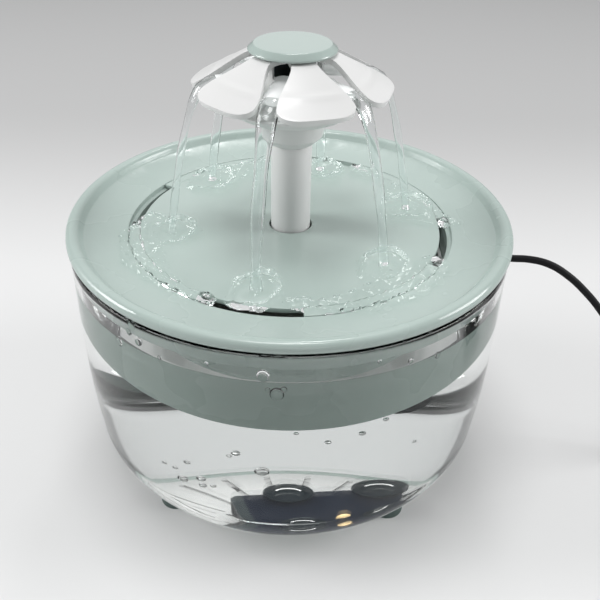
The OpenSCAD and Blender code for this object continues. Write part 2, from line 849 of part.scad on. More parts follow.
module plug_tongue() {
    tongue_t = 1.8;
    color("white")
    translate([plug_at[0] - shell_size[0] / 2 + shell_t, plug_at[1] + plug_neck_l + plug_size[1] + 2 * shell_t,
        plug_at[2] + shell_size[2] / 2 - shell_t - tongue_t])
        cube([shell_size[0] - 2 * shell_t, shell_size[1] - 3 * shell_t, tongue_t]);
}

bowl();
foot_pads();
tray();
filter_basket();
filter_case();
carbon_bed();
filter_felt();
drain_cover();
stem_tube();
flower_base();
flower_petals();
flower_cap();
pump_housing();
pump_bottom_plate();
suction_cups();
chamber_cover();
impeller();
rotor_magnet();
rotor_shaft();
stator_core();
stator_coil();
indicator_lens();
intake_cover();
intake_sponge();
outlet_bushing();
pump_gland();
pump_lead();
rim_grommet();
usb_lead();
lead_coil();
lead_tail();
plug_body();
plug_shell();
plug_tongue();
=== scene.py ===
"""Pet water fountain: finished pieces, materials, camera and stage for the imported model."""

import math

import bmesh
import bpy
from mathutils import Matrix, Vector, noise


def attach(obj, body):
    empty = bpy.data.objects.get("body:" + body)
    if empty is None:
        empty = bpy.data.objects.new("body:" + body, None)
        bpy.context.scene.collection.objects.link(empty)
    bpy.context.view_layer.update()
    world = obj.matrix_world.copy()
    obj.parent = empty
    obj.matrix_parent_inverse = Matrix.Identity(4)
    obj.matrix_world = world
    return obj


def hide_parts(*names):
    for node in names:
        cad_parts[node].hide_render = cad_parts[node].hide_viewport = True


bl_info = {
    "name": "Pet water fountain",
    "version": (1, 0, 0),
    "blender": (4, 5, 0),
    "location": "View3D > Sidebar > Fountain",
    "description": "Builds the finished pieces, the water and the stage of a pet water fountain",
    "category": "Object",
}

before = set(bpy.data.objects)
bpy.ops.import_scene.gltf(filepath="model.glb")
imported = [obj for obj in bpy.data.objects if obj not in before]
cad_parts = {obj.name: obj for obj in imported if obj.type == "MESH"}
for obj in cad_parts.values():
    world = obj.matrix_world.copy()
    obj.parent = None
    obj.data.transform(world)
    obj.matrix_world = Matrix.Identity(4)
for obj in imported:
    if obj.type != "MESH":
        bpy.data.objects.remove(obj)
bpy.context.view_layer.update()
MM = 0.001


# ---------------------------------------------------------------- settings

class FOUNTAIN_PG_sizes(bpy.types.PropertyGroup):
    """Sizes that change the look without changing the solids"""

    water_level: bpy.props.FloatProperty(
        name="Water level", description="Height of the water in the bowl above the floor",
        default=0.1015, min=0.06, max=0.107, subtype="DISTANCE", unit="LENGTH")
    stream_width: bpy.props.FloatProperty(
        name="Stream width", description="Width of a stream where it leaves the flower",
        default=0.0082, min=0.004, max=0.012, subtype="DISTANCE", unit="LENGTH")
    window_width: bpy.props.FloatProperty(
        name="Window width", description="Width of a spout window in the flower's hub",
        default=0.0098, min=0.005, max=0.011, subtype="DISTANCE", unit="LENGTH")
    edge_round: bpy.props.FloatProperty(
        name="Edge rounding", description="Rounding of the small edges of the tray and the stem",
        default=0.0003, min=0.0001, max=0.001, subtype="DISTANCE", unit="LENGTH")


class FOUNTAIN_PG_colours(bpy.types.PropertyGroup):
    """Colours of the plastics, the lead and the stage"""

    sage: bpy.props.FloatVectorProperty(
        name="Sage plastic", description="Colour of the tray, the drain cover and the cap",
        default=(0.37, 0.445, 0.416, 1.0), size=4, min=0, max=1, subtype="COLOR")
    white: bpy.props.FloatVectorProperty(
        name="White plastic", description="Colour of the flower, the stem and the basket",
        default=(0.66, 0.66, 0.655, 1.0), size=4, min=0, max=1, subtype="COLOR")
    navy: bpy.props.FloatVectorProperty(
        name="Pump plastic", description="Colour of the pump's housing",
        default=(0.0015, 0.004, 0.01, 1.0), size=4, min=0, max=1, subtype="COLOR")
    lead: bpy.props.FloatVectorProperty(
        name="Lead", description="Colour of the lead and the plug's grip",
        default=(0.012, 0.012, 0.013, 1.0), size=4, min=0, max=1, subtype="COLOR")
    floor: bpy.props.FloatVectorProperty(
        name="Floor", description="Colour of the floor",
        default=(0.7, 0.7, 0.7, 1.0), size=4, min=0, max=1, subtype="COLOR")


# ---------------------------------------------------------------- shader maths

class Socket:
    """A shader socket, with arithmetic that adds Math nodes"""

    def __init__(self, shader, value):
        self.shader = shader
        self.value = value

    def _math(self, operation, other, swap=False):
        pair = (other, self) if swap else (self, other)
        return self.shader.node("ShaderNodeMath", {"operation": operation}, {0: pair[0], 1: pair[1]})

    def __add__(self, other):
        return self._math("ADD", other)

    def __radd__(self, other):
        return self._math("ADD", other, True)

    def __sub__(self, other):
        return self._math("SUBTRACT", other)

    def __rsub__(self, other):
        return self._math("SUBTRACT", other, True)

    def __mul__(self, other):
        return self._math("MULTIPLY", other)

    def __rmul__(self, other):
        return self._math("MULTIPLY", other, True)

    def smooth(self, low, high):
        """Soft step from 0 at low to 1 at high"""
        return self.shader.node(
            "ShaderNodeMapRange", {"interpolation_type": "SMOOTHSTEP"},
            {"Value": self, "From Min": low, "From Max": high, "To Min": 0.0, "To Max": 1.0})


class Shader:
    """Builds one material's nodes"""

    def __init__(self, name):
        self.material = bpy.data.materials.new(name)
        self.material.use_nodes = True
        self.tree = self.material.node_tree
        self.surface = self.tree.nodes["Principled BSDF"]

    def node(self, kind, settings, inputs, output=0):
        made = self.tree.nodes.new(kind)
        for key, value in settings.items():
            setattr(made, key, value)
        for key, value in inputs.items():
            self.feed(made.inputs[key], value)
        return Socket(self, made.outputs[output])

    def feed(self, socket, value):
        if isinstance(value, Socket):
            self.tree.links.new(value.value, socket)
        else:
            socket.default_value = value

    def set(self, **values):
        for key, value in values.items():
            self.feed(self.surface.inputs[key.replace("_", " ")], value)
        return self

    def place(self):
        return self.node("ShaderNodeTexCoord", {}, {}, output="Object")

    def noise(self, scale, detail=2.0, roughness=0.5):
        return self.node(
            "ShaderNodeTexNoise", {},
            {"Vector": self.place(), "Scale": scale, "Detail": detail, "Roughness": roughness},
            output="Fac")

    def cells(self, scale):
        return self.node(
            "ShaderNodeTexVoronoi", {"feature": "F1"}, {"Vector": self.place(), "Scale": scale},
            output="Distance")

    def bands(self, direction, scale):
        return self.node(
            "ShaderNodeTexWave", {"wave_type": "BANDS", "bands_direction": direction},
            {"Vector": self.place(), "Scale": scale}, output="Fac")

    def axis(self, letter):
        return self.node("ShaderNodeSeparateXYZ", {}, {"Vector": self.place()}, output=letter)

    def mix(self, amount, first, second):
        made = self.tree.nodes.new("ShaderNodeMix")
        made.data_type = "RGBA"
        self.feed(made.inputs[0], amount)
        self.feed(made.inputs[6], first)
        self.feed(made.inputs[7], second)
        return Socket(self, made.outputs[2])

    def bump(self, height, strength, distance):
        return self.node(
            "ShaderNodeBump", {}, {"Height": height, "Strength": strength, "Distance": distance})


def shade(colour, amount):
    """Colour made darker or lighter"""
    return (colour[0] * amount, colour[1] * amount, colour[2] * amount, 1.0)


PURE = (1.0, 1.0, 1.0, 1.0)
FAINT_GREEN = (0.99, 1.0, 0.995, 1.0)
BOWL_TINT = (0.985, 0.99, 0.988, 1.0)
WATER_TINT = (0.99, 1.0, 0.996, 1.0)
PLASTIC_INDEX = 1.49
WATER_INDEX = 1.333
FAINT_MIRROR = 0.06


def moulded(name, colour, roughness, grain=2600.0, spread=0.06, coat=0.0):
    """Moulded plastic: slight unevenness of colour and gloss, with fine surface grain"""
    s = Shader(name)
    cloud = s.noise(22.0, 3.0)
    fine = s.noise(grain, 2.0)
    s.set(
        Base_Color=s.mix(cloud, shade(colour, 1.0 - spread), shade(colour, 1.0 + spread * 0.5)),
        Roughness=roughness + (cloud - 0.5) * 0.12,
        Normal=s.bump(fine, 0.25, 0.00002),
        Coat_Weight=coat,
        Coat_Roughness=0.06)
    return s.material


def wet_plastic(colour):
    """Sage plastic under an uneven skin of water"""
    s = Shader("wet_sage_plastic")
    cloud = s.noise(22.0, 3.0)
    skin = s.noise(95.0, 2.0) + s.noise(30.0, 1.0) * 2.0
    patch = s.noise(26.0, 3.0).smooth(0.42, 0.58)
    s.set(
        Base_Color=s.mix(cloud, shade(colour, 0.95), shade(colour, 1.02)),
        Roughness=0.34 - patch * 0.22,
        Normal=s.bump(skin, 0.35, 0.0006))
    return s.material


def clear(name, tint, index, passing=0.97, mirror=1.0, solid=0.0):
    """Clear material that lets the lamps light what is behind it

    passing is the share of light that it lets through, mirror the strength of its reflections, and solid the
    share of its body that is white, partly for foam and partly as a painted highlight.
    """
    s = Shader(name)
    s.set(
        Base_Color=tint, Roughness=0.0, IOR=index, Transmission_Weight=1.0 - solid,
        Specular_Tint=shade(PURE, mirror))
    shadow = s.node("ShaderNodeLightPath", {}, {}, output="Is Shadow Ray")
    diffuse = s.node("ShaderNodeLightPath", {}, {}, output="Is Diffuse Ray")
    through = s.node("ShaderNodeBsdfTransparent", {}, {"Color": shade(FAINT_GREEN, passing)})
    joined = s.node(
        "ShaderNodeMixShader", {}, {0: shadow + diffuse, 1: Socket(s, s.surface.outputs[0]), 2: through})
    s.feed(s.tree.nodes["Material Output"].inputs["Surface"], joined)
    return s.material


def rubber(name, colour, roughness=0.55):
    """Dull rubber or cable sheath with a fine grain"""
    s = Shader(name)
    grain = s.noise(900.0, 3.0)
    s.set(
        Base_Color=s.mix(grain, shade(colour, 0.8), shade(colour, 1.3)),
        Roughness=roughness, Specular_IOR_Level=0.1, Normal=s.bump(grain, 0.3, 0.00003))
    return s.material


def pump_plastic(colour):
    """Dark plastic with fine pale specks"""
    s = Shader("pump_plastic")
    dots = 1.0 - s.cells(420.0).smooth(0.06, 0.12)
    patches = s.noise(160.0).smooth(0.55, 0.7)
    s.set(
        Base_Color=s.mix(dots * patches, colour, (0.35, 0.4, 0.45, 1.0)),
        Roughness=0.5 + s.noise(60.0) * 0.1, Specular_IOR_Level=0.08)
    return s.material


def glowing_lens():
    """Pale warm lens that is lit from inside"""
    s = Shader("lens")
    s.set(
        Base_Color=(0.6, 0.42, 0.2, 1.0), Roughness=0.25,
        Emission_Color=s.mix(s.noise(300.0), (1.0, 0.72, 0.36, 1.0), (1.0, 0.86, 0.6, 1.0)),
        Emission_Strength=0.35)
    return s.material


def carbon_grains():
    """Packed black grains"""
    s = Shader("carbon")
    grain = s.cells(620.0)
    s.set(
        Base_Color=s.mix(grain, (0.03, 0.03, 0.03, 1.0), (0.005, 0.005, 0.005, 1.0)),
        Roughness=0.7, Normal=s.bump(1.0 - grain, 0.9, 0.0006))
    return s.material


def filter_felt():
    """Matted off-white fibres"""
    s = Shader("felt")
    fibre = s.noise(1400.0, 5.0, 0.7)
    s.set(
        Base_Color=s.mix(fibre, (0.6, 0.59, 0.55, 1.0), (0.85, 0.84, 0.8, 1.0)),
        Roughness=0.95, Normal=s.bump(fibre, 0.8, 0.0003))
    return s.material


def black_sponge():
    """Open foam"""
    s = Shader("sponge")
    pore = s.cells(900.0)
    s.set(
        Base_Color=s.mix(pore.smooth(0.15, 0.5), (0.005, 0.005, 0.006, 1.0), (0.06, 0.065, 0.07, 1.0)),
        Roughness=0.95, Normal=s.bump(pore, 1.0, 0.0005))
    return s.material


def banded_metal(name, direction, scale, groove, ridge, roughness, strength, depth):
    """Metal in fine bands, for stacked sheets or wound wire"""
    s = Shader(name)
    bands = s.bands(direction, scale)
    s.set(
        Base_Color=s.mix(bands, groove, ridge), Metallic=1.0, Roughness=roughness,
        Normal=s.bump(bands, strength, depth))
    return s.material


def brushed_metal():
    """Plug shell with a faint brushed finish"""
    s = Shader("plug_metal")
    brush = s.noise(500.0, 3.0)
    s.set(
        Base_Color=s.mix(brush, (0.55, 0.55, 0.56, 1.0), (0.72, 0.72, 0.73, 1.0)),
        Metallic=1.0, Roughness=0.2 + brush * 0.12)
    return s.material


def make_materials(colours):
    """Every finish by its short name"""
    sage, white = tuple(colours.sage), tuple(colours.white)
    return {
        "sage": moulded("sage_plastic", sage, 0.3, coat=0.2),
        "gloss_sage": moulded("glossy_sage_plastic", sage, 0.14, coat=0.5),
        "wet_sage": wet_plastic(sage),
        "white_gloss": moulded("white_gloss_plastic", white, 0.33, spread=0.02, coat=0.12),
        "white": moulded("white_plastic", shade(white, 0.97), 0.4, spread=0.03),
        # painted shade: near-black plastic on the hub's inner faces, standing in for the shade inside the hub
        "hollow_shade": moulded("painted_hollow_shade", (0.02, 0.03, 0.028, 1.0), 0.4),
        "grille": moulded("grille_plastic", (0.012, 0.018, 0.02, 1.0), 0.5),
        "amber": moulded("impeller_plastic", (0.55, 0.36, 0.1, 1.0), 0.3),
        "ferrite": moulded("ferrite", (0.02, 0.02, 0.021, 1.0), 0.5, grain=900.0),
        "ceramic": moulded("ceramic", (0.85, 0.83, 0.78, 1.0), 0.15, spread=0.02),
        "navy": pump_plastic(tuple(colours.navy)),
        "lens": glowing_lens(),
        "carbon": carbon_grains(),
        "felt": filter_felt(),
        "sponge": black_sponge(),
        "rubber": rubber("dark_rubber", (0.003, 0.006, 0.008, 1.0)),
        "foot": rubber("grey_green_rubber", (0.09, 0.12, 0.112, 1.0)),
        "grommet": rubber("grey_rubber", (0.2, 0.23, 0.22, 1.0)),
        "lead": rubber("lead_sheath", tuple(colours.lead), 0.5),
        "steel": banded_metal(
            "core_steel", "Z", 620.0, (0.22, 0.22, 0.23, 1.0), (0.42, 0.42, 0.43, 1.0), 0.4, 0.4, 0.0001),
        "copper": banded_metal(
            "copper_wire", "X", 800.0, (0.3, 0.11, 0.04, 1.0), (0.75, 0.34, 0.14, 1.0), 0.3, 0.6, 0.0002),
        "metal": brushed_metal(),
        "bowl": clear("clear_bowl", BOWL_TINT, PLASTIC_INDEX, 0.82),
        "bowl_wall": clear("clear_bowl_wall", BOWL_TINT, PLASTIC_INDEX, 0.82, FAINT_MIRROR),
        "water": clear("water", WATER_TINT, WATER_INDEX, 0.88),
        "water_side": clear("water_side", WATER_TINT, WATER_INDEX, 0.88, FAINT_MIRROR),
        "stream": clear("stream_water", (0.99, 1.0, 1.0, 1.0), WATER_INDEX),
        # the whiteness of the gushing water is partly foam and partly a painted highlight
        "gush": clear("gushing_water", (0.97, 0.98, 0.98, 1.0), WATER_INDEX, solid=0.55),
        "air": clear("air_bubble", PURE, 0.75),
    }


NODE_FINISH = {
    "foot_pads": "foot", "filter_basket": "white", "filter_case": "white", "carbon_bed": "carbon",
    "filter_felt": "felt", "pump_housing": "navy", "pump_bottom_plate": "navy", "suction_cups": "rubber",
    "chamber_cover": "navy", "impeller": "amber", "rotor_magnet": "ferrite", "rotor_shaft": "ceramic",
    "stator_core": "steel", "stator_coil": "copper", "intake_cover": "grille", "intake_sponge": "sponge",
    "outlet_bushing": "grommet", "pump_gland": "rubber", "rim_grommet": "grommet", "plug_shell": "metal",
    "plug_tongue": "white",
}
MATERIALS = {}


def material(name):
    """The shared material of that name, made once"""
    if not MATERIALS:
        MATERIALS.update(make_materials(bpy.context.scene.fountain_colours))
    return MATERIALS[name]


# ---------------------------------------------------------------- mesh helpers

def arc(cx, cz, rx, rz, start, end, steps):
    """Points of an elliptic arc in the plane of a profile"""
    turns = [math.radians(start + (end - start) * i / steps) for i in range(steps + 1)]
    return [(cx + rx * math.cos(a), cz + rz * math.sin(a)) for a in turns]


def lathe(profile, steps, closed=False, bevel=0.0):
    """Solid of revolution about Z from a profile in millimetres, with its sharp rings rounded"""
    bm = bmesh.new()
    verts = [bm.verts.new((r * MM, 0.0, z * MM)) for r, z in profile]
    edges = [bm.edges.new(pair) for pair in zip(verts, verts[1:])]
    if closed:
        edges.append(bm.edges.new((verts[-1], verts[0])))
    bmesh.ops.spin(
        bm, geom=verts + edges, cent=(0, 0, 0), axis=(0, 0, 1), angle=math.tau, steps=steps, use_merge=True)
    bmesh.ops.remove_doubles(bm, verts=bm.verts, dist=1e-6)
    bmesh.ops.dissolve_degenerate(bm, edges=bm.edges, dist=1e-7)
    bmesh.ops.recalc_face_normals(bm, faces=bm.faces)
    if bevel:
        round_edges(bm, bevel)
    return bm


def bevel_edges(bm, edges, width, segments):
    """Rounds the given edges"""
    bmesh.ops.bevel(
        bm, geom=edges, offset=width, offset_type="OFFSET", affect="EDGES", segments=segments,
        profile=0.5, material=-1, clamp_overlap=True)


def round_edges(bm, width, segments=2, crease=30.0):
    """Rounds the edges that turn by more than crease degrees"""
    limit = math.radians(crease)
    sharp = [e for e in bm.edges if len(e.link_faces) == 2 and e.calc_face_angle(0.0) > limit]
    bevel_edges(bm, sharp, width, segments)


def block(size, centre):
    """Box with its size and its centre in millimetres"""
    bm = bmesh.new()
    bmesh.ops.create_cube(bm, size=1.0)
    bmesh.ops.scale(bm, vec=[a * MM for a in size], verts=bm.verts)
    bmesh.ops.translate(bm, vec=[a * MM for a in centre], verts=bm.verts)
    return bm


def in_mm(length):
    """A length property in millimetres, without the rounding that a property adds"""
    return round(length / MM, 4)


def turn_about_z(bm, degrees):
    """Turns the whole bmesh about the object's axis"""
    bmesh.ops.rotate(
        bm, cent=(0, 0, 0), matrix=Matrix.Rotation(math.radians(degrees), 3, "Z"), verts=bm.verts)


def smooth_shading(mesh, crease):
    """Smooth faces, with edges left sharp where they turn by more than crease degrees"""
    mesh.shade_smooth()
    mesh.set_sharp_from_angle(angle=math.radians(crease))


def finish_piece(bm, name, finish, body, replaces=(), crease=38.0):
    """Turns a bmesh into a finished piece that rides on a body"""
    mesh = bpy.data.meshes.new(name)
    bm.to_mesh(mesh)
    bm.free()
    smooth_shading(mesh, crease)
    piece = bpy.data.objects.new(name, mesh)
    bpy.context.scene.collection.objects.link(piece)
    piece.data.materials.append(material(finish))
    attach(piece, body)
    if replaces:
        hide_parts(*replaces)
    return piece


def second_finish(piece, finish, chosen):
    """Gives the faces whose centre is chosen a finish of their own"""
    piece.data.materials.append(material(finish))
    for face in piece.data.polygons:
        if chosen(face.center):
            face.material_index = len(piece.data.materials) - 1


def cut_piece(piece, bm, crease):
    """Takes a cutter's volume out of a piece and keeps the result as its mesh"""
    mesh = bpy.data.meshes.new("cutter")
    bm.to_mesh(mesh)
    bm.free()
    cutter = bpy.data.objects.new("cutter", mesh)
    bpy.context.scene.collection.objects.link(cutter)
    step = piece.modifiers.new("cut", "BOOLEAN")
    step.operation = "DIFFERENCE"
    step.object = cutter
    step.solver = "EXACT"
    bpy.context.view_layer.update()
    graph = bpy.context.evaluated_depsgraph_get()
    result = bpy.data.meshes.new_from_object(piece.evaluated_get(graph))
    piece.modifiers.clear()
    piece.data = result
    bpy.data.objects.remove(cutter)
    smooth_shading(result, crease)


# ---------------------------------------------------------------- shared shapes

# sizes in millimetres, with heights from the floor and radii from the axis
BASE = 2.0
BASE_RISE = 3.8
RIM = 115.0
RIM_R = 94.2
LOW_R = 92.4
BELLY_R = 94.5
BELLY_Z = 77.33
CORNER_W = 28.0
CORNER_H = 25.0
WALL = 2.3
BASE_RINGS = 44
GATE_RING = 4  # ring of the base that stands out, the moulding mark in its middle
GATE_HEIGHT = 0.05
LEDGE_R = 70.0
DISH_R = 89.0
DISH_RISE = 3.5
COVER_R = 69.6
COVER_TOP = 114.2
FLOWER_TURN = -75.0


def bowl_line(grow):
    """Outer line of the bowl from the axis to the rim, moved outwards by grow"""
    corner_r = LOW_R - CORNER_W
    base = []
    for i in range(BASE_RINGS):
        share = i / BASE_RINGS
        gate = GATE_HEIGHT if grow == 0.0 and i == GATE_RING else 0.0
        base.append((corner_r * share, BASE + BASE_RISE * (1 - share ** 2) - grow + gate))
    corner = arc(corner_r, BASE + CORNER_H, CORNER_W + grow, CORNER_H + grow, -90, 0, 40)
    foot = BASE + CORNER_H
    middle = ((LOW_R + BELLY_R) / 2 + 0.4, foot + 17)
    line = [(LOW_R, foot), middle, (BELLY_R, BELLY_Z), (RIM_R, RIM)]
    heights = [foot + (RIM - foot) * i / 24 for i in range(1, 25)]
    return base + corner + [(smooth_line(line, z) + grow, z) for z in heights]


def smooth_line(points, z):
    """Radius at height z on a smooth line through a few points"""
    total = 0.0
    for i, (r, zi) in enumerate(points):
        term = r
        for j, (_, zj) in enumerate(points):
            if j != i:
                term *= (z - zj) / (zi - zj)
        total += term
    return total


def dish_height(r):
    """Height of the dish at a distance from the axis"""
    return COVER_TOP + DISH_RISE * (max(0.0, r - LEDGE_R) / (DISH_R - LEDGE_R)) ** 2


# ---------------------------------------------------------------- camera and leads

IMAGE_WIDTH = 600  # in pixels
FOCAL_LENGTH = 754.89  # in pixels of an image of that width
CAMERA_PITCH, CAMERA_ROLL, CAMERA_YAW = 34.9752, 1.28554, 0.96646  # in degrees
LIP_R = 95.0
LIP_Z = 119.0
CAMERA_AT = (0.0, -3.06466, 1.65699)  # in radii of the lip, from the lip's centre

LEAD_D = 3.2
USB_ROUTE = [
    (89.13, -12.52, 105.4), (96.6, -13.6, 105.6), (103.3, -14.5, 105.8), (111.6, -15.7, 104.3),
    (120.6, -17, 99.4), (130, -18.3, 91.5), (138, -19.4, 83), (145.6, -20.5, 73), (152.5, -21.4, 61.5),
    (159.4, -22.4, 48.8), (166.4, -23.4, 35.8), (173.3, -24.4, 23.6), (181.2, -25.5, 12.6),
    (189.6, -26.7, 5.4), (199, -28, 2.2), (207, -29.1, 1.6), (215.8, -30.4, 1.6)]
TAIL_ROUTE = [
    (239.95, -9.4, 11.2), (239.95, -4, 11.2), (239.95, 1.5, 10.8), (239.95, 7.5, 9.3), (239.95, 14, 7),
    (239.95, 20.5, 5), (239.95, 26, 4.2), (239.95, 31, 4), (239.95, 34, 4)]
PUMP_ROUTE = [
    (39.1, 20.1, 57), (47, 21.5, 57), (64, 20.4, 58.4), (71.5, 16, 61),
    (77.4, 9.4, 65.6), (80.2, 2, 72), (81, -4.6, 80.4), (81, -9.2, 90), (80.7, -11.3, 98.9),
    (81.2, -11.4, 101.4), (82.6, -11.6, 103.5), (84.7, -11.9, 104.9), (87.1, -12.24, 105.4),
    (88.7, -12.47, 105.4)]
COIL_AT = (218.75, -9.4)
COIL_LAYERS = 4
COIL_WIDE = 3
COIL_R = 18.0
COIL_START = -98.4
COIL_STEPS = 16
CROSSING = 0.2  # share of a turn in which the lead moves to the next place
BULGE = 1.6  # how far the lead swings aside where it climbs to the next layer


def coil_place(turn):
    """Radius and height of a turn of the coil: layer on layer, inwards and outwards in turn"""
    layer, place = divmod(turn, COIL_WIDE)
    inward = place if layer % 2 == 0 else COIL_WIDE - 1 - place
    outer = COIL_R + LEAD_D * (COIL_WIDE - 1) / 2
    return outer - LEAD_D * inward, LEAD_D * (layer + 0.5)


def coil_route():
    """Points of the stored turns of the lead"""
    turns = COIL_LAYERS * COIL_WIDE
    total = turns * 360 - COIL_START
    steps = int(total / 360 * COIL_STEPS)
    points = []
    for i in range(1, steps):
        angle = total * i / steps
        turn, part = divmod(angle / 360.0, 1.0)
        here, there = min(int(turn), turns - 1), min(int(turn) + 1, turns - 1)
        blend = max(0.0, (part - 1 + CROSSING) / CROSSING)
        blend = blend * blend * (3 - 2 * blend)
        (r0, z0), (r1, z1) = coil_place(here), coil_place(there)
        r = r0 + (r1 - r0) * blend
        if r0 == r1 and here != there:
            r += math.copysign(BULGE, r - COIL_R) * math.sin(math.pi * blend)
        a = math.radians(COIL_START + angle)
        points.append((COIL_AT[0] + r * math.cos(a), COIL_AT[1] + r * math.sin(a), z0 + (z1 - z0) * blend))
    return points


def tube_curve(name, route, body, replaces):
    """Round lead as a smooth curve through its route"""
    curve = bpy.data.curves.new(name, "CURVE")
    curve.dimensions = "3D"
    curve.bevel_depth = LEAD_D / 2 * MM
    curve.bevel_resolution = 3
    curve.resolution_u = 5
    curve.use_fill_caps = True
    spline = curve.splines.new("BEZIER")
    spline.bezier_points.add(len(route) - 1)
    for point, at in zip(spline.bezier_points, route):
        point.co = Vector(at) * MM
        point.handle_left_type = "AUTO"
        point.handle_right_type = "AUTO"
    piece = bpy.data.objects.new(name, curve)
    bpy.context.scene.collection.objects.link(piece)
    curve.materials.append(material("lead"))
    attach(piece, body)
    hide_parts(*replaces)
    return piece


class FOUNTAIN_OT_camera(bpy.types.Operator):
    """Adds the camera in front of the fountain, above the rim"""

    bl_idname = "fountain.camera"
    bl_label = "Camera"

    def execute(self, context):
        pitch, roll, yaw = (math.radians(a) for a in (CAMERA_PITCH, CAMERA_ROLL, CAMERA_YAW))
        forward = Vector((
            math.sin(yaw) * math.cos(pitch), math.cos(yaw) * math.cos(pitch), -math.sin(pitch)))
        right = Vector((math.cos(yaw), -math.sin(yaw), 0.0))
        up = right.cross(forward)
        side = right * math.cos(roll) + up * math.sin(roll)
        top = up * math.cos(roll) - right * math.sin(roll)
        data = bpy.data.cameras.new("camera")
        data.sensor_width = 36.0
        data.lens = FOCAL_LENGTH / IMAGE_WIDTH * data.sensor_width
        data.clip_start = 0.01
        camera = bpy.data.objects.new("camera", data)
        turn = Matrix((side, top, -forward)).transposed().to_4x4()
        place = (Vector(CAMERA_AT) * LIP_R + Vector((0.0, 0.0, LIP_Z))) * MM
        camera.matrix_world = Matrix.Translation(place) @ turn
        context.scene.collection.objects.link(camera)
        context.scene.camera = camera
        return {"FINISHED"}


PLUG_SIZE = (15.6, 21.0, 8.0)
PLUG_AXIS = (239.95, 4.0)
PLUG_Y = 50.5
PLUG_CORNER = 2.2
PLUG_EDGE = 0.9
RIBS = 4
RIB_Y = 34.7
RIB_PITCH = 1.55
RIB_R = 2.2
RIB_GROWTH = 0.28
RIB_LENGTH = 1.3
RELIEF_CORE = (37.1, 1.9, 2.8, 6.2)  # place along Y, back radius, front radius and length


class FOUNTAIN_OT_lead(bpy.types.Operator):
    """Builds the lead outside the bowl with its coil, and the lead between the pump and the rim"""

    bl_idname = "fountain.lead"
    bl_label = "Leads"

    def execute(self, context):
        route = USB_ROUTE + coil_route() + TAIL_ROUTE
        outer = tube_curve("usb_lead_whole", route, "bowl", ("usb_lead", "lead_coil", "lead_tail"))
        plug = self.plug()
        inner = tube_curve("pump_lead_inside", PUMP_ROUTE, "tray", ("pump_lead",))
        return {"FINISHED"}

    def plug(self):
        """Grip of the plug with its ribbed strain relief"""
        x, z = PLUG_AXIS
        bm = block(PLUG_SIZE, (x, PLUG_Y, z))
        corners = [e for e in bm.edges if abs(e.verts[0].co.z - e.verts[1].co.z) > PLUG_SIZE[2] * MM / 2]
        bevel_edges(bm, corners, PLUG_CORNER * MM, 5)
        round_edges(bm, PLUG_EDGE * MM, 3)
        for i in range(RIBS):
            wide = RIB_R + RIB_GROWTH * i
            self.relief_ring(bm, RIB_Y + RIB_PITCH * i, wide, wide + 0.1, RIB_LENGTH)
        self.relief_ring(bm, *RELIEF_CORE)
        return finish_piece(bm, "plug_grip", "lead", "bowl", ("plug_body",))

    def relief_ring(self, bm, y, back_r, front_r, length):
        """Short cone along Y round the lead"""
        x, z = PLUG_AXIS
        place = Matrix.Translation((x * MM, y * MM, z * MM)) @ Matrix.Rotation(-math.pi / 2, 4, "X")
        bmesh.ops.create_cone(
            bm, cap_ends=True, segments=24, radius1=back_r * MM, radius2=front_r * MM,
            depth=length * MM, matrix=place)


# ---------------------------------------------------------------- bowl and its water

CORNER_FOOT = 8.5  # above this height bowl and water mirror only faintly
NOTCH_SIZE = (5.6, 16.0)  # width, and depth of its cutter
NOTCH_Z = 102.6
NOTCH_ROUND = 2.7
NOTCH_TURN = -8.0


class FOUNTAIN_OT_bowl(bpy.types.Operator):
    """Builds the clear bowl with the notch for the lead"""

    bl_idname = "fountain.bowl"
    bl_label = "Bowl"

    def execute(self, context):
        outside = bowl_line(0.0)
        inside = bowl_line(-WALL)
        rim = arc(RIM_R - WALL / 2, RIM - 0.6, WALL / 2, 0.6, 0, 180, 6)
        profile = outside[:-1] + rim + inside[-2::-1]
        bm = lathe(profile, 160)
        piece = finish_piece(bm, "bowl_shell", "bowl", "bowl", ("bowl",), crease=60)
        cut_piece(piece, self.notch(), 60)
        second_finish(piece, "bowl_wall", lambda at: at.z > CORNER_FOOT * MM)
        return {"FINISHED"}

    def notch(self):
        """Cutter for the notch that the lead leaves by, with a round bottom"""
        wide, deep = NOTCH_SIZE
        bm = block((deep, wide, deep), (RIM_R - 0.2, 0.0, NOTCH_Z + deep / 2))
        low = [e for e in bm.edges if all(v.co.z < (NOTCH_Z + 1) * MM for v in e.verts)
               and abs(e.verts[0].co.x - e.verts[1].co.x) > 0.01]
        bevel_edges(bm, low, NOTCH_ROUND * MM, 6)
        turn_about_z(bm, NOTCH_TURN)
        return bm


WATER_OVERLAP = 0.1  # how far the water reaches into the bowl's wall
# turn about the axis in degrees, height and radius
WALL_DROPS = [
    (-95.5, 105.0, 2.3), (-92.5, 97.0, 2.6), (-91.0, 99.5, 1.2), (-94.5, 99.0, 1.0), (-133.0, 100.5, 1.9),
    (-127.5, 112.0, 1.8), (-126.0, 106.0, 1.6), (-128.75, 108.5, 1.4), (-120.0, 103.0, 0.9),
    (-62.0, 104.0, 1.1), (-70.0, 108.0, 0.8), (-54.0, 101.5, 1.3), (-108.0, 107.0, 0.8)]
# place and radius
BUBBLES = [
    (-19.0, -78.0, 58.0, 1.5), (-21.5, -76.0, 55.0, 0.9), (14.5, -77.0, 64.0, 1.1), (27.0, -74.0, 66.0, 1.2),
    (35.5, -70.0, 70.0, 1.0), (-38.0, -70.0, 45.0, 1.2), (-33.0, -74.0, 39.0, 1.6), (-43.0, -66.0, 38.0, 1.0),
    (-40.0, -64.0, 31.0, 1.9), (-32.0, -66.0, 30.0, 1.3), (-28.0, -70.0, 33.0, 1.0), (-9.5, -80.0, 50.0, 2.4),
    (-47.0, -60.0, 36.0, 0.9), (48.0, -64.0, 52.0, 0.8), (3.0, -82.0, 72.0, 0.8)]


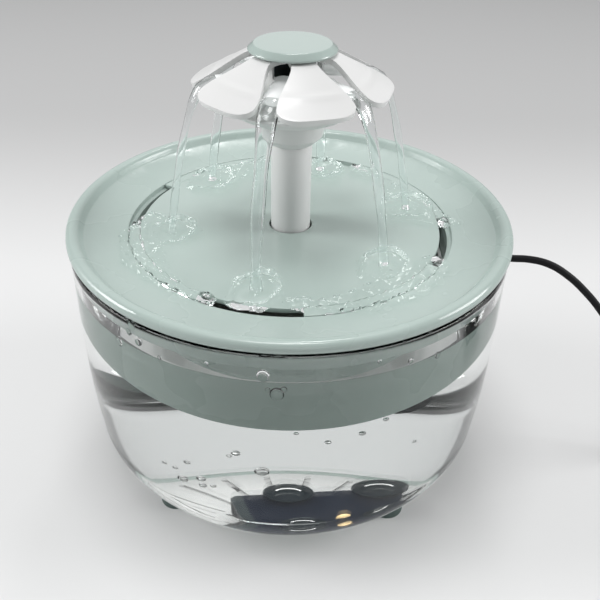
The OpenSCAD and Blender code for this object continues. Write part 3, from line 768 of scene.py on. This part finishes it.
class FOUNTAIN_OT_water(bpy.types.Operator):
    """Fills the bowl with water and adds bubbles and droplets"""

    bl_idname = "fountain.water"
    bl_label = "Water in the bowl"

    def execute(self, context):
        level = context.scene.fountain_sizes.water_level / MM
        inside = [p for p in bowl_line(-WALL + WATER_OVERLAP) if p[1] < level - 0.8]
        wall_r = inside[-1][0]
        surface = [(wall_r, level + 0.9), (wall_r - 0.7, level + 0.35), (wall_r - 1.8, level), (0.0, level)]
        bm = lathe(inside + surface, 160)
        body = finish_piece(bm, "water_body", "water", "bowl", crease=80)
        second_finish(body, "water_side", lambda at: CORNER_FOOT * MM < at.z < (level - 3) * MM)
        self.drops()
        self.bubbles()
        return {"FINISHED"}

    def drops(self):
        """Drops that hang on the inner wall above the water"""
        bm = bmesh.new()
        line = [(LOW_R, BASE + CORNER_H), (BELLY_R, BELLY_Z), (RIM_R, RIM)]
        for turn, z, size in WALL_DROPS:
            r = smooth_line(line, z) - WALL
            place = (
                Matrix.Rotation(math.radians(turn), 4, "Z")
                @ Matrix.Translation(((r - 0.25 * size) * MM, 0, z * MM))
                @ Matrix.Diagonal((0.62, 1.0, 1.15, 1.0)))
            bmesh.ops.create_icosphere(bm, subdivisions=3, radius=size * MM, matrix=place)
        finish_piece(bm, "wall_drops", "stream", "bowl")

    def bubbles(self):
        """Air bubbles that stand in the water near the front wall"""
        bm = bmesh.new()
        for x, y, z, size in BUBBLES:
            place = Matrix.Translation((x * MM, y * MM, z * MM)) @ Matrix.Diagonal((1.25, 1.0, 0.75, 1.0))
            bmesh.ops.create_icosphere(bm, subdivisions=3, radius=size * MM, matrix=place)
        finish_piece(bm, "water_bubbles", "air", "bowl")


# ---------------------------------------------------------------- tray

CUP_SPOTS = [(6.3, -18.7), (38.8, -13.0), (0.4, 14.8), (32.9, 20.5)]
CUP_Z = 44.75
# radius and thickness of the painted highlights, pale arcs that stand in for glints on the suction cups
CUP_GLINT_R = 5.6
CUP_GLINT_THICK = 0.84
LENS_AT = (21.94, -7.5, 47.8)
LENS_R = 2.9
LENS_STRETCH = 1.45

LIP_TOP = 120.5
LIP_MID = 118.05
TRAY_WALL = 2.4
DRUM_R = 70.4
DRUM_FLOOR = 66.0
DRUM_TOP = 112.0
SKIRT_R = 91.6
SKIRT_FOOT = 108.0
COVER_THICK = 2.2
COVER_HOLE_R = 9.3
DRAIN_DEPTH = 4.7
DRAINS = 4
DRAIN_START = 4.5
LAND_ANGLE = 55.0  # what stays of the cover's edge between two drain slots


class FOUNTAIN_OT_tray(bpy.types.Operator):
    """Builds the tray with its lip, dish, skirt and drum, the drain cover and the pump's lens"""

    bl_idname = "fountain.tray"
    bl_label = "Tray and drain cover"

    def execute(self, context):
        self.shell(context.scene.fountain_sizes.edge_round)
        self.cover()
        self.painted_cup_glints()
        self.lens()
        return {"FINISHED"}

    def shell(self, rounding):
        """Tray in one piece: skirt, rolled lip, dish and drum"""
        lip = arc(92.6, LIP_MID, 2.4, LIP_TOP - LIP_MID, -62, 90, 16)
        lip += [(91.6, 120.46), (90.6, 120.2), (89.8, 119.7), (89.3, 119.1), (88.9, 118.5), (88.4, 118.0)]
        dish = [DISH_R - (DISH_R - LEDGE_R) * i / 18 for i in range(1, 19)]
        dish = [(r, dish_height(r)) for r in dish]
        inner_r = SKIRT_R - 2.0
        under = [DRUM_R + (inner_r - DRUM_R) * i / 12 for i in range(12)]
        under = [(r, dish_height(r) - TRAY_WALL) for r in under]
        skirt = [(SKIRT_R, SKIRT_FOOT), (SKIRT_R, RIM), (92.9, RIM), (92.9, 115.8)]
        drum = [
            (LEDGE_R, DRUM_TOP), (68.2, DRUM_TOP), (68.2, 67.2), (66.2, 67.2), (66.2, DRUM_FLOOR),
            (DRUM_R, DRUM_FLOOR)]
        profile = skirt + lip + dish + drum + under + [(inner_r, RIM), (inner_r, SKIRT_FOOT)]
        bm = lathe(profile, 192, True, rounding)
        finish_piece(bm, "tray_shell", "wet_sage", "tray", ("tray",))

    def lens(self):
        """Domed lens of the pump's lamp"""
        place = Matrix.Translation([a * MM for a in LENS_AT]) @ Matrix.Diagonal((1.0, 1.0, LENS_STRETCH, 1.0))
        bm = bmesh.new()
        bmesh.ops.create_uvsphere(bm, u_segments=32, v_segments=20, radius=LENS_R * MM, matrix=place)
        finish_piece(bm, "lens_dome", "lens", "tray", ("indicator_lens",))

    def painted_cup_glints(self):
        """Painted highlights: pale arcs on the pump's suction cups that stand in for the glints on their rims
        """
        bm = bmesh.new()
        for x, y in CUP_SPOTS:
            before = set(bm.verts)
            upright = Matrix.Translation((0, CUP_GLINT_R * MM, 0)) @ Matrix.Rotation(math.pi / 2, 4, "Y")
            bmesh.ops.create_circle(bm, segments=10, radius=CUP_GLINT_THICK / 2 * MM, matrix=upright)
            loop = [v for v in bm.verts if v not in before]
            edges = list({e for v in loop for e in v.link_edges})
            bmesh.ops.rotate(bm, cent=(0, 0, 0), matrix=Matrix.Rotation(-1.0, 3, "Z"), verts=loop)
            bmesh.ops.spin(
                bm, geom=loop + edges, cent=(0, 0, 0), axis=(0, 0, 1), angle=2.0, steps=20)
            ends = [e for e in bm.edges if e.is_boundary]
            bmesh.ops.holes_fill(bm, edges=ends, sides=0)
            made = [v for v in bm.verts if v not in before]
            bmesh.ops.translate(bm, vec=(x * MM, y * MM, CUP_Z * MM), verts=made)
        bmesh.ops.recalc_face_normals(bm, faces=bm.faces)
        # the painted glints take the white plastic
        finish_piece(bm, "painted_cup_glints", "white", "tray")

    def cover(self):
        """Drain cover: a plate with a hole for the stem and drain slots at its edge"""
        bm = bmesh.new()
        slot_r = COVER_R - DRAIN_DEPTH
        self.sector(bm, COVER_HOLE_R, slot_r, 0.0, 360.0, 288)
        for i in range(DRAINS):
            self.sector(bm, slot_r, COVER_R, DRAIN_START + 360 / DRAINS * i, LAND_ANGLE, 44)
        bmesh.ops.remove_doubles(bm, verts=bm.verts, dist=2e-5)
        grown = bmesh.ops.extrude_face_region(bm, geom=bm.faces[:])["geom"]
        upper = [v for v in grown if isinstance(v, bmesh.types.BMVert)]
        bmesh.ops.translate(bm, vec=(0, 0, COVER_THICK * MM), verts=upper)
        bmesh.ops.translate(bm, vec=(0, 0, (COVER_TOP - COVER_THICK) * MM), verts=bm.verts)
        bmesh.ops.recalc_face_normals(bm, faces=bm.faces)
        round_edges(bm, 0.0004, 2, 50)
        finish_piece(bm, "drain_plate", "sage", "drain_cover", ("drain_cover",))

    def sector(self, bm, inner, outer, start, angle, steps):
        """Flat ring or part of a ring between two radii"""
        turn = Matrix.Rotation(math.radians(start), 4, "Z")
        pair = [bm.verts.new(turn @ Vector((r * MM, 0, 0))) for r in (inner, outer)]
        edge = bm.edges.new(pair)
        bmesh.ops.spin(
            bm, geom=pair + [edge], cent=(0, 0, 0), axis=(0, 0, 1), angle=math.radians(angle),
            steps=steps, use_merge=angle == 360.0)


# ---------------------------------------------------------------- stem and flower

# distance from the axis and height of a petal's upper side
PETAL_LINE = [
    (11.0, 189.0), (15.0, 189.0), (17.5, 188.6), (20.0, 187.3), (25.0, 184.5), (28.5, 182.5), (31.0, 181.1),
    (34.0, 179.4), (37.0, 177.8), (40.0, 176.2)]
# distance from the axis and half width
PETAL_SIDE = [
    (11.0, 4.4), (15.0, 4.6), (18.0, 5.2), (21.0, 6.9), (24.0, 9.1), (27.0, 11.4), (30.0, 13.4), (33.0, 14.7),
    (36.0, 15.2), (40.0, 15.2)]
PETALS = 6
PETAL_REACH = 39.6
PETAL_ROOT_R = 11.0
PETAL_THICK = 2.0
RIDGE_R = 30.6
RIDGE_HEIGHT = 0.35
BORE_R = 6.5
STEM_R = 8.5
STEM_FOOT = 68.6
STEM_TOP = 160.0
HUB_BORE_R = 9.5
HUB_R = 12.0
HUB_FOOT = 168.0
WINDOW_TALL = 9.2
WINDOW_Z = 185.5
CAP_SEAT = 189.4
CAP_R = 17.45
CAP_PLUG_R = 9.4


def between(points, at):
    """Value on a smoothed line through (place, value) pairs"""
    total = weight = 0.0
    for k in range(-4, 5):
        x = min(max(at + 0.35 * k, points[0][0]), points[-1][0])
        share = 5 - abs(k)
        for (x0, y0), (x1, y1) in zip(points, points[1:]):
            if x <= x1:
                total += share * (y0 + (y1 - y0) * (x - x0) / (x1 - x0))
                weight += share
                break
    return total / weight


def petal_point(t, s):
    """Plan position on a petal, t from its root to its end and s from side to side"""
    end = PETAL_REACH - 7.0 * (1 - (1 - abs(s) ** 3.1) ** 0.5)
    x = PETAL_ROOT_R + (end - PETAL_ROOT_R) * t
    return x, between(PETAL_SIDE, x) * s


class FOUNTAIN_OT_flower(bpy.types.Operator):
    """Builds the stem, the collar with its saucer, the petals and the cap"""

    bl_idname = "fountain.flower"
    bl_label = "Stem and flower"

    def execute(self, context):
        sizes = context.scene.fountain_sizes
        self.stem(sizes.edge_round)
        self.saucer()
        self.petals()
        self.hub(sizes.window_width)
        self.cap()
        return {"FINISHED"}

    def stem(self, rounding):
        """Tube from the pump up to the collar"""
        profile = [(BORE_R, STEM_FOOT), (STEM_R, STEM_FOOT), (STEM_R, STEM_TOP), (BORE_R, STEM_TOP)]
        bm = lathe(profile, 96, True, rounding)
        finish_piece(bm, "stem_pipe", "white_gloss", "stem", ("stem_tube",))

    def saucer(self):
        """Collar on the stem, with the saucer and the spigot that carry the petals"""
        profile = [
            (8.6, 152.5), (9.3, 152.5), (13.0, 156.0), (13.0, 163.5), (16.0, 164.3), (20.0, 165.0),
            (24.0, 166.6), (26.4, 168.6), (27.0, 169.6), (26.0, 170.5), (23.5, 168.7), (20.0, 167.3),
            (17.0, 166.7), (14.0, 166.4), (13.0, 168.0), (9.2, 168.0), (9.2, 173.0), (BORE_R, 173.0),
            (BORE_R, STEM_TOP), (8.6, STEM_TOP)]
        bm = lathe(profile, 128, True, 0.0004)
        finish_piece(bm, "collar_saucer", "white_gloss", "stem", ("flower_base",))

    def petals(self):
        """Ring of petals, each a drooping sheet with rounded ends and edges"""
        bm = bmesh.new()
        bmesh.ops.create_grid(bm, x_segments=26, y_segments=18, size=1.0)
        for v in bm.verts:
            s = math.sin(v.co.y * math.pi / 2)
            x, y = petal_point((v.co.x + 1) / 2, s)
            away = math.hypot(x, y * 0.8)
            ridge = RIDGE_HEIGHT * math.exp(-((away - RIDGE_R) / 1.1) ** 2) * (1 - s ** 4)
            v.co = Vector((x * MM, y * MM, (between(PETAL_LINE, away) + ridge) * MM))
        grown = bmesh.ops.extrude_face_region(bm, geom=bm.faces[:])["geom"]
        lower = [v for v in grown if isinstance(v, bmesh.types.BMVert)]
        bmesh.ops.translate(bm, vec=(-0.6 * MM, 0, -PETAL_THICK * MM), verts=lower)
        bmesh.ops.recalc_face_normals(bm, faces=bm.faces)
        round_edges(bm, 0.00095, 4, 55)
        turn_about_z(bm, FLOWER_TURN)
        bmesh.ops.spin(
            bm, geom=bm.verts[:] + bm.edges[:] + bm.faces[:], cent=(0, 0, 0), axis=(0, 0, 1),
            angle=math.tau * (PETALS - 1) / PETALS, steps=PETALS - 1, use_duplicate=True)
        bmesh.ops.recalc_face_normals(bm, faces=bm.faces)
        finish_piece(bm, "petal_ring", "white_gloss", "blossom", ("flower_petals",))

    def hub(self, window_width):
        """Hub under the petals, with a spout window between each two of them and painted shade on its inner
        faces
        """
        profile = [(HUB_BORE_R, HUB_FOOT), (HUB_R, HUB_FOOT), (HUB_R, CAP_SEAT), (HUB_BORE_R, CAP_SEAT)]
        piece = finish_piece(
            lathe(profile, 96, True, 0.0002), "petal_hub", "white_gloss", "blossom")
        for i in range(PETALS):
            window = block((HUB_R, in_mm(window_width), WINDOW_TALL), (HUB_R, 0.0, WINDOW_Z))
            round_edges(window, 0.0006)
            turn_about_z(window, FLOWER_TURN + 360 / PETALS * (i + 0.5))
            cut_piece(piece, window, 38)
        # painted shade: the inner faces get a near-black finish for the shade inside the hub
        second_finish(piece, "hollow_shade", lambda at: math.hypot(at.x, at.y) < (HUB_BORE_R + 0.3) * MM)

    def cap(self):
        """Cap disc with a cone at its edge, and its plug in the hub"""
        top = CAP_SEAT
        plug_r = CAP_PLUG_R
        profile = [(0.0, top - 1.6), (plug_r - 0.4, top - 1.6), (plug_r, top - 1.2), (plug_r, top)]
        profile += arc(CAP_R - 0.6, top + 0.6, 0.6, 0.6, -90, 38, 8)
        profile += arc(CAP_R - 2.6, top + 2.3, 0.6, 0.58, 38, 86, 6)
        profile += [(12.0, top + 2.83), (8.0, top + 2.87), (4.0, top + 2.89), (0.0, top + 2.9)]
        bm = lathe(profile, 128)
        finish_piece(bm, "cap_disc", "gloss_sage", "cap", ("flower_cap",))


# ---------------------------------------------------------------- running water

# where the streams land, and the radius of the puddles they make
LANDINGS = [
    (-50.2, -12.4, 11.5), (-13.1, -55.2, 12.0), (37.2, -36.3, 12.0), (51.8, 13.1, 12.5),
    (14.7, 51.7, 11.0), (-37.5, 38.8, 12.5)]
# water that runs along the dish: points on its middle line, with the half width
SHEETS = [
    [(-60, -2, 7), (-64, -14, 9), (-60, -30, 9), (-52, -44, 6), (-42, -54, 4), (-30, -61, 3)],
    [(0, -62, 3), (14, -64, 5), (28, -60, 8), (44, -49, 10), (57, -36, 8)],
    [(54, 8, 8), (64, 4, 6), (71, 1, 4)],
    [(48, 33, 5), (58, 20, 5), (64, 9, 5)],
    [(14, 53, 8), (4, 60, 5)],
    [(33, 54, 5), (40, 47, 4)],
    [(-34, 43, 8), (-18, 56, 6), (-4, 60, 4)]]
FILM_REACH = 79.0
FILM_CELLS = 260
FILM_SINK = 0.06
SEAM_GAP = 0.24
# distance from the axis and height of the water that slides out between two petals
STREAM_SLIDE = [
    (10.4, 180.9), (12.5, 181.1), (15.0, 180.9), (18.0, 180.5), (22.0, 180.1), (26.0, 179.8), (30.0, 179.4)]
STREAM_EDGE_R = 33.0
STREAM_TOP = 179.0
STREAM_END = 115.8
STREAM_FALL = 64.0
GUSH_R = 29.0  # within this radius the water is white, partly foam and partly a painted highlight


def soft(x, y, seed):
    """Smooth unevenness between -1 and 1"""
    return noise.noise(Vector((x, y, seed)))


def rounded(share):
    """Quarter circle from 0 to 1, for the edge of a film"""
    return math.sqrt(1 - (1 - min(1.0, share)) ** 2)


def puddle_depth(x, y, puddle, wobble):
    """Depth of a puddle with a raised rim and a column in its middle"""
    cx, cy, size = puddle
    away = math.hypot(x - cx, y - cy)
    if away > size + 3:
        return 0.0
    turn = math.atan2(y - cy, x - cx)
    reach = size + 1.2 * math.sin(2 * turn + cx) + 0.7 * math.sin(5 * turn + cy) + wobble * 0.6
    inside = reach - away
    if inside <= 0:
        return 0.0
    side = 1.0 + 0.45 * math.sin(turn + 0.9) + 0.35 * soft(3 * math.cos(turn), 3 * math.sin(turn), cx)
    rim = 3.06 * side * math.exp(-((away - 0.82 * reach) / (0.09 * size)) ** 2)
    column = 1.1 * math.exp(-(away / 2.6) ** 2)
    ring = 0.12 * math.sin(away * 1.9 + cx) * math.exp(-away / 8)
    return rounded(inside / 1.8) * (0.45 + rim + column + ring)


def sheet_depth(x, y, start, end, wobble):
    """Depth of one stretch of a sheet of running water"""
    (ax, ay, aw), (bx, by, bw) = start, end
    dx, dy = bx - ax, by - ay
    along = ((x - ax) * dx + (y - ay) * dy) / (dx * dx + dy * dy)
    along = min(1.0, max(0.0, along))
    inside = aw + (bw - aw) * along - math.hypot(x - ax - dx * along, y - ay - dy * along) + wobble * 1.5
    if inside <= 0:
        return 0.0
    body = 0.9 + math.exp(-(inside - 1.7) ** 2)
    rough = 1.3 * soft(x * 0.28, y * 0.28, 15.0) + 0.5 * soft(x * 0.6, y * 0.6, 21.0)
    return rounded(inside / 1.6) * (body + rough)


def film_depth(x, y):
    """Depth of the water film at a point of the tray, or 0 where the tray is dry"""
    wobble = 1.3 * soft(x * 0.09, y * 0.09, 3.0) + 0.7 * soft(x * 0.25, y * 0.25, 8.0)
    depths = [puddle_depth(x, y, puddle, wobble) for puddle in LANDINGS]
    for sheet in SHEETS:
        depths += [sheet_depth(x, y, start, end, wobble) for start, end in zip(sheet, sheet[1:])]
    return max(0.0, *depths)


def stream_path(land):
    """Distances from the axis and heights of a stream that lands at a distance from the axis"""
    drop = (STREAM_TOP - STREAM_END) / (land - STREAM_EDGE_R) ** 2
    away = [STREAM_EDGE_R + (land - STREAM_EDGE_R) * math.sqrt(k / 30) for k in range(31)]
    return STREAM_SLIDE + [(r, STREAM_TOP - drop * (r - STREAM_EDGE_R) ** 2) for r in away]


def stream_size(r, fall, seed, half_width):
    """Half the width and half the thickness of a stream at a point of its path"""
    wide = half_width - 2.3 * fall ** 0.5 + 0.25 * math.sin(13 * fall + seed)
    wide += 10 * max(0.0, fall - 0.93)
    thick = 1.9 - 0.7 * min(1.0, 6 * fall) + 0.5 * fall + 0.15 * math.sin(19 * fall + 2 * seed)
    if r < STREAM_SLIDE[-1][0]:
        wide += 0.4 * math.sin(0.7 * r + seed)
        thick += 0.35 * math.sin(0.9 * r + 2 * seed)
    return wide, thick


class FOUNTAIN_OT_running_water(bpy.types.Operator):
    """Adds the streams that fall from the flower and the film they make on the tray"""

    bl_idname = "fountain.running_water"
    bl_label = "Streams and film"

    def execute(self, context):
        self.film("cover_film", "drain_cover", True)
        self.film("tray_film", "tray", False)
        half_width = in_mm(context.scene.fountain_sizes.stream_width) / 2
        for i, (x, y, _) in enumerate(LANDINGS):
            self.stream("stream_%d" % (i + 1), x, y, i, half_width)
        return {"FINISHED"}

    def film(self, name, body, on_cover):
        """Film on the drain cover or round it, parted at the cover's edge"""
        bm = bmesh.new()
        bmesh.ops.create_grid(bm, x_segments=FILM_CELLS, y_segments=FILM_CELLS, size=FILM_REACH * MM)
        seam = (COVER_R + LEDGE_R) / 2 * MM
        beyond = [f for f in bm.faces if (f.calc_center_median().length < seam) != on_cover]
        bmesh.ops.delete(bm, geom=beyond, context="FACES")
        edge_r = seam + (-SEAM_GAP if on_cover else SEAM_GAP) * MM / 2
        for v in bm.verts:
            if v.is_boundary and abs(v.co.length - seam) < 0.5 * MM:
                v.co *= edge_r / v.co.length
        dry = []
        for v in bm.verts:
            x, y = v.co.x / MM, v.co.y / MM
            depth = film_depth(x, y)
            if depth <= 0:
                dry.append(v)
            v.co.z = (dish_height(math.hypot(x, y)) + depth) * MM
        bmesh.ops.delete(bm, geom=dry, context="VERTS")
        lone = [v for v in bm.verts if not v.link_faces]
        bmesh.ops.delete(bm, geom=lone, context="VERTS")
        grown = bmesh.ops.extrude_face_region(bm, geom=bm.faces[:])["geom"]
        for v in grown:
            if isinstance(v, bmesh.types.BMVert):
                v.co.z = (dish_height(math.hypot(v.co.x, v.co.y) / MM) - FILM_SINK) * MM
        bmesh.ops.recalc_face_normals(bm, faces=bm.faces)
        finish_piece(bm, name, "stream", body, crease=85)

    def stream(self, name, x, y, seed, half_width):
        """Thin falling sheet from a window of the hub to the tray, hollow so that its rims show most"""
        turn = math.atan2(y, x)
        path = stream_path(math.hypot(x, y))
        bm = bmesh.new()
        for hollow in (False, True):
            places = self.sections(path, turn, seed, half_width, hollow)
            ring = bmesh.ops.create_circle(bm, cap_ends=True, segments=20, radius=1.0, matrix=places[0])
            tube = ring["verts"]
            edges = list({e for v in tube for e in v.link_edges})
            for last, place in zip(places, places[1:]):
                grown = bmesh.ops.extrude_edge_only(bm, edges=edges)["geom"]
                verts = [g for g in grown if isinstance(g, bmesh.types.BMVert)]
                edges = [g for g in grown if isinstance(g, bmesh.types.BMEdge)]
                edges = [e for e in edges if len(e.link_faces) == 1]
                bmesh.ops.transform(bm, matrix=place @ last.inverted(), verts=verts)
                tube = tube + verts
            bmesh.ops.holes_fill(bm, edges=edges, sides=0)
            faces = list({f for v in tube for f in v.link_faces})
            bmesh.ops.recalc_face_normals(bm, faces=faces)
            if hollow:
                bmesh.ops.reverse_faces(bm, faces=faces)
        piece = finish_piece(bm, name, "stream", "blossom", crease=85)
        second_finish(piece, "gush", lambda at: math.hypot(at.x, at.y) < GUSH_R * MM)

    def sections(self, path, turn, seed, half_width, hollow):
        """Places that carry a unit circle onto each section of a stream, or of its hollow"""
        out = Vector((math.cos(turn), math.sin(turn), 0))
        side = Vector((-math.sin(turn), math.cos(turn), 0))
        places = []
        for i, (r, z) in enumerate(path):
            before, after = path[max(i - 1, 0)], path[min(i + 1, len(path) - 1)]
            along = (out * (after[0] - before[0]) + Vector((0, 0, after[1] - before[1]))).normalized()
            fall = min(1.0, max(0.0, (STREAM_TOP - z) / STREAM_FALL))
            wide, thick = stream_size(r, fall, seed, half_width)
            share = 0.8 + 0.15 * fall if hollow else 1.0
            flutter = 0.6 * math.sin(5 * fall + 2.1 * seed) * fall
            across = along.cross(side)
            turned = Matrix((side * wide * share * MM, across * thick * share * MM, along * MM))
            place = turned.transposed().to_4x4()
            place.translation = (out * r + side * flutter + Vector((0, 0, z))) * MM
            places.append(place)
        return places


# ---------------------------------------------------------------- carried-over solids

class FOUNTAIN_OT_finishes(bpy.types.Operator):
    """Gives the solids that stay visible their finishes"""

    bl_idname = "fountain.finishes"
    bl_label = "Finishes of the inner pieces"

    def execute(self, context):
        for node, finish in NODE_FINISH.items():
            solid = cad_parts[node]
            for slot in solid.material_slots:
                slot.material = material(finish)
        return {"FINISHED"}


# ---------------------------------------------------------------- stage

# name, place and width in metres, power in watts
LAMPS = [
    ("key", (-0.05, 0.0, 1.25), 0.45, 5.6),
    ("left_box", (-1.5, 0.1, 0.85), 0.85, 20.0),
    ("right_box", (1.5, 0.1, 0.85), 0.85, 17.5),
    ("front_box", (0.1, -1.5, 0.55), 0.9, 2.2),
    ("back_box", (0.1, 0.8, 1.2), 0.22, 1.6),
    ("backdrop", (0.0, 1.5, 1.15), 2.2, 5.2),
]
BOWL_GLOW = ("bowl_glow", (0.0, 0.0, 0.0135), 0.11, 0.1)
WORLD_COLOUR = (0.75, 0.76, 0.77, 1.0)
WORLD_STRENGTH = 0.38
# colour of the floor far behind the fountain: painted shade
FAR_FLOOR_SHADE = (0.42, 0.42, 0.42, 1.0)


class FOUNTAIN_OT_stage(bpy.types.Operator):
    """Adds the pale floor, the soft lamps and the world"""

    bl_idname = "fountain.stage"
    bl_label = "Stage"

    def execute(self, context):
        scene = context.scene
        self.floor(scene)
        self.world(scene)
        for name, at, size, power in LAMPS:
            self.lamp(scene, name, at, size, power)
        glow = self.lamp(scene, *BOWL_GLOW)
        glow.rotation_euler = (math.pi, 0.0, 0.0)
        glow.visible_camera = glow.visible_glossy = glow.visible_transmission = False
        scene.view_settings.view_transform = "Standard"
        return {"FINISHED"}

    def floor(self, scene):
        """Pale floor with painted shade that makes it darker towards the back"""
        bm = bmesh.new()
        bmesh.ops.create_circle(bm, cap_ends=True, segments=96, radius=6.0)
        mesh = bpy.data.meshes.new("floor")
        bm.to_mesh(mesh)
        bm.free()
        floor = bpy.data.objects.new("floor", mesh)
        scene.collection.objects.link(floor)
        s = Shader("floor")
        # painted shade: the floor's colour darkens towards the back
        far = s.axis("Y").smooth(-0.02, 0.44)
        s.set(
            Base_Color=s.mix(far, tuple(scene.fountain_colours.floor), FAR_FLOOR_SHADE), Roughness=0.6,
            Specular_IOR_Level=0.2, Normal=s.bump(s.noise(500.0), 0.05, 0.0001))
        mesh.materials.append(s.material)

    def world(self, scene):
        """Plain pale surroundings"""
        world = bpy.data.worlds.new("studio")
        world.use_nodes = True
        sky = world.node_tree.nodes["Background"]
        sky.inputs["Color"].default_value = WORLD_COLOUR
        sky.inputs["Strength"].default_value = WORLD_STRENGTH
        scene.world = world

    def lamp(self, scene, name, at, size, power):
        """Round soft lamp that faces the origin"""
        data = bpy.data.lights.new(name, "AREA")
        data.shape = "DISK"
        data.size = size
        data.energy = power
        lamp = bpy.data.objects.new(name, data)
        lamp.location = at
        lamp.rotation_euler = Vector(at).to_track_quat("Z", "Y").to_euler()
        scene.collection.objects.link(lamp)
        return lamp


# ---------------------------------------------------------------- panel and main

class FOUNTAIN_PT_panel(bpy.types.Panel):
    """Lists the fountain's steps in the 3D view's sidebar"""

    bl_idname = "FOUNTAIN_PT_panel"
    bl_label = "Pet water fountain"
    bl_space_type = "VIEW_3D"
    bl_region_type = "UI"
    bl_category = "Fountain"

    def draw(self, context):
        layout = self.layout
        for group in (context.scene.fountain_sizes, context.scene.fountain_colours):
            for key in group.bl_rna.properties.keys():
                if key not in {"rna_type", "name"}:
                    layout.prop(group, key)
        for step in STEPS:
            layout.operator(step.bl_idname)


STEPS = (
    FOUNTAIN_OT_camera, FOUNTAIN_OT_lead, FOUNTAIN_OT_bowl, FOUNTAIN_OT_water, FOUNTAIN_OT_tray,
    FOUNTAIN_OT_flower, FOUNTAIN_OT_running_water, FOUNTAIN_OT_finishes, FOUNTAIN_OT_stage)
CLASSES = (FOUNTAIN_PG_sizes, FOUNTAIN_PG_colours) + STEPS + (FOUNTAIN_PT_panel,)


def register():
    for cls in CLASSES:
        bpy.utils.register_class(cls)
    bpy.types.Scene.fountain_sizes = bpy.props.PointerProperty(type=FOUNTAIN_PG_sizes)
    bpy.types.Scene.fountain_colours = bpy.props.PointerProperty(type=FOUNTAIN_PG_colours)


def unregister():
    del bpy.types.Scene.fountain_colours
    del bpy.types.Scene.fountain_sizes
    for cls in reversed(CLASSES):
        bpy.utils.unregister_class(cls)


def main():
    register()
    bpy.ops.fountain.camera()
    bpy.ops.fountain.lead()
    bpy.ops.fountain.bowl()
    bpy.ops.fountain.water()
    bpy.ops.fountain.tray()
    bpy.ops.fountain.flower()
    bpy.ops.fountain.running_water()
    bpy.ops.fountain.finishes()
    bpy.ops.fountain.stage()


if __name__ == "__main__":
    main()
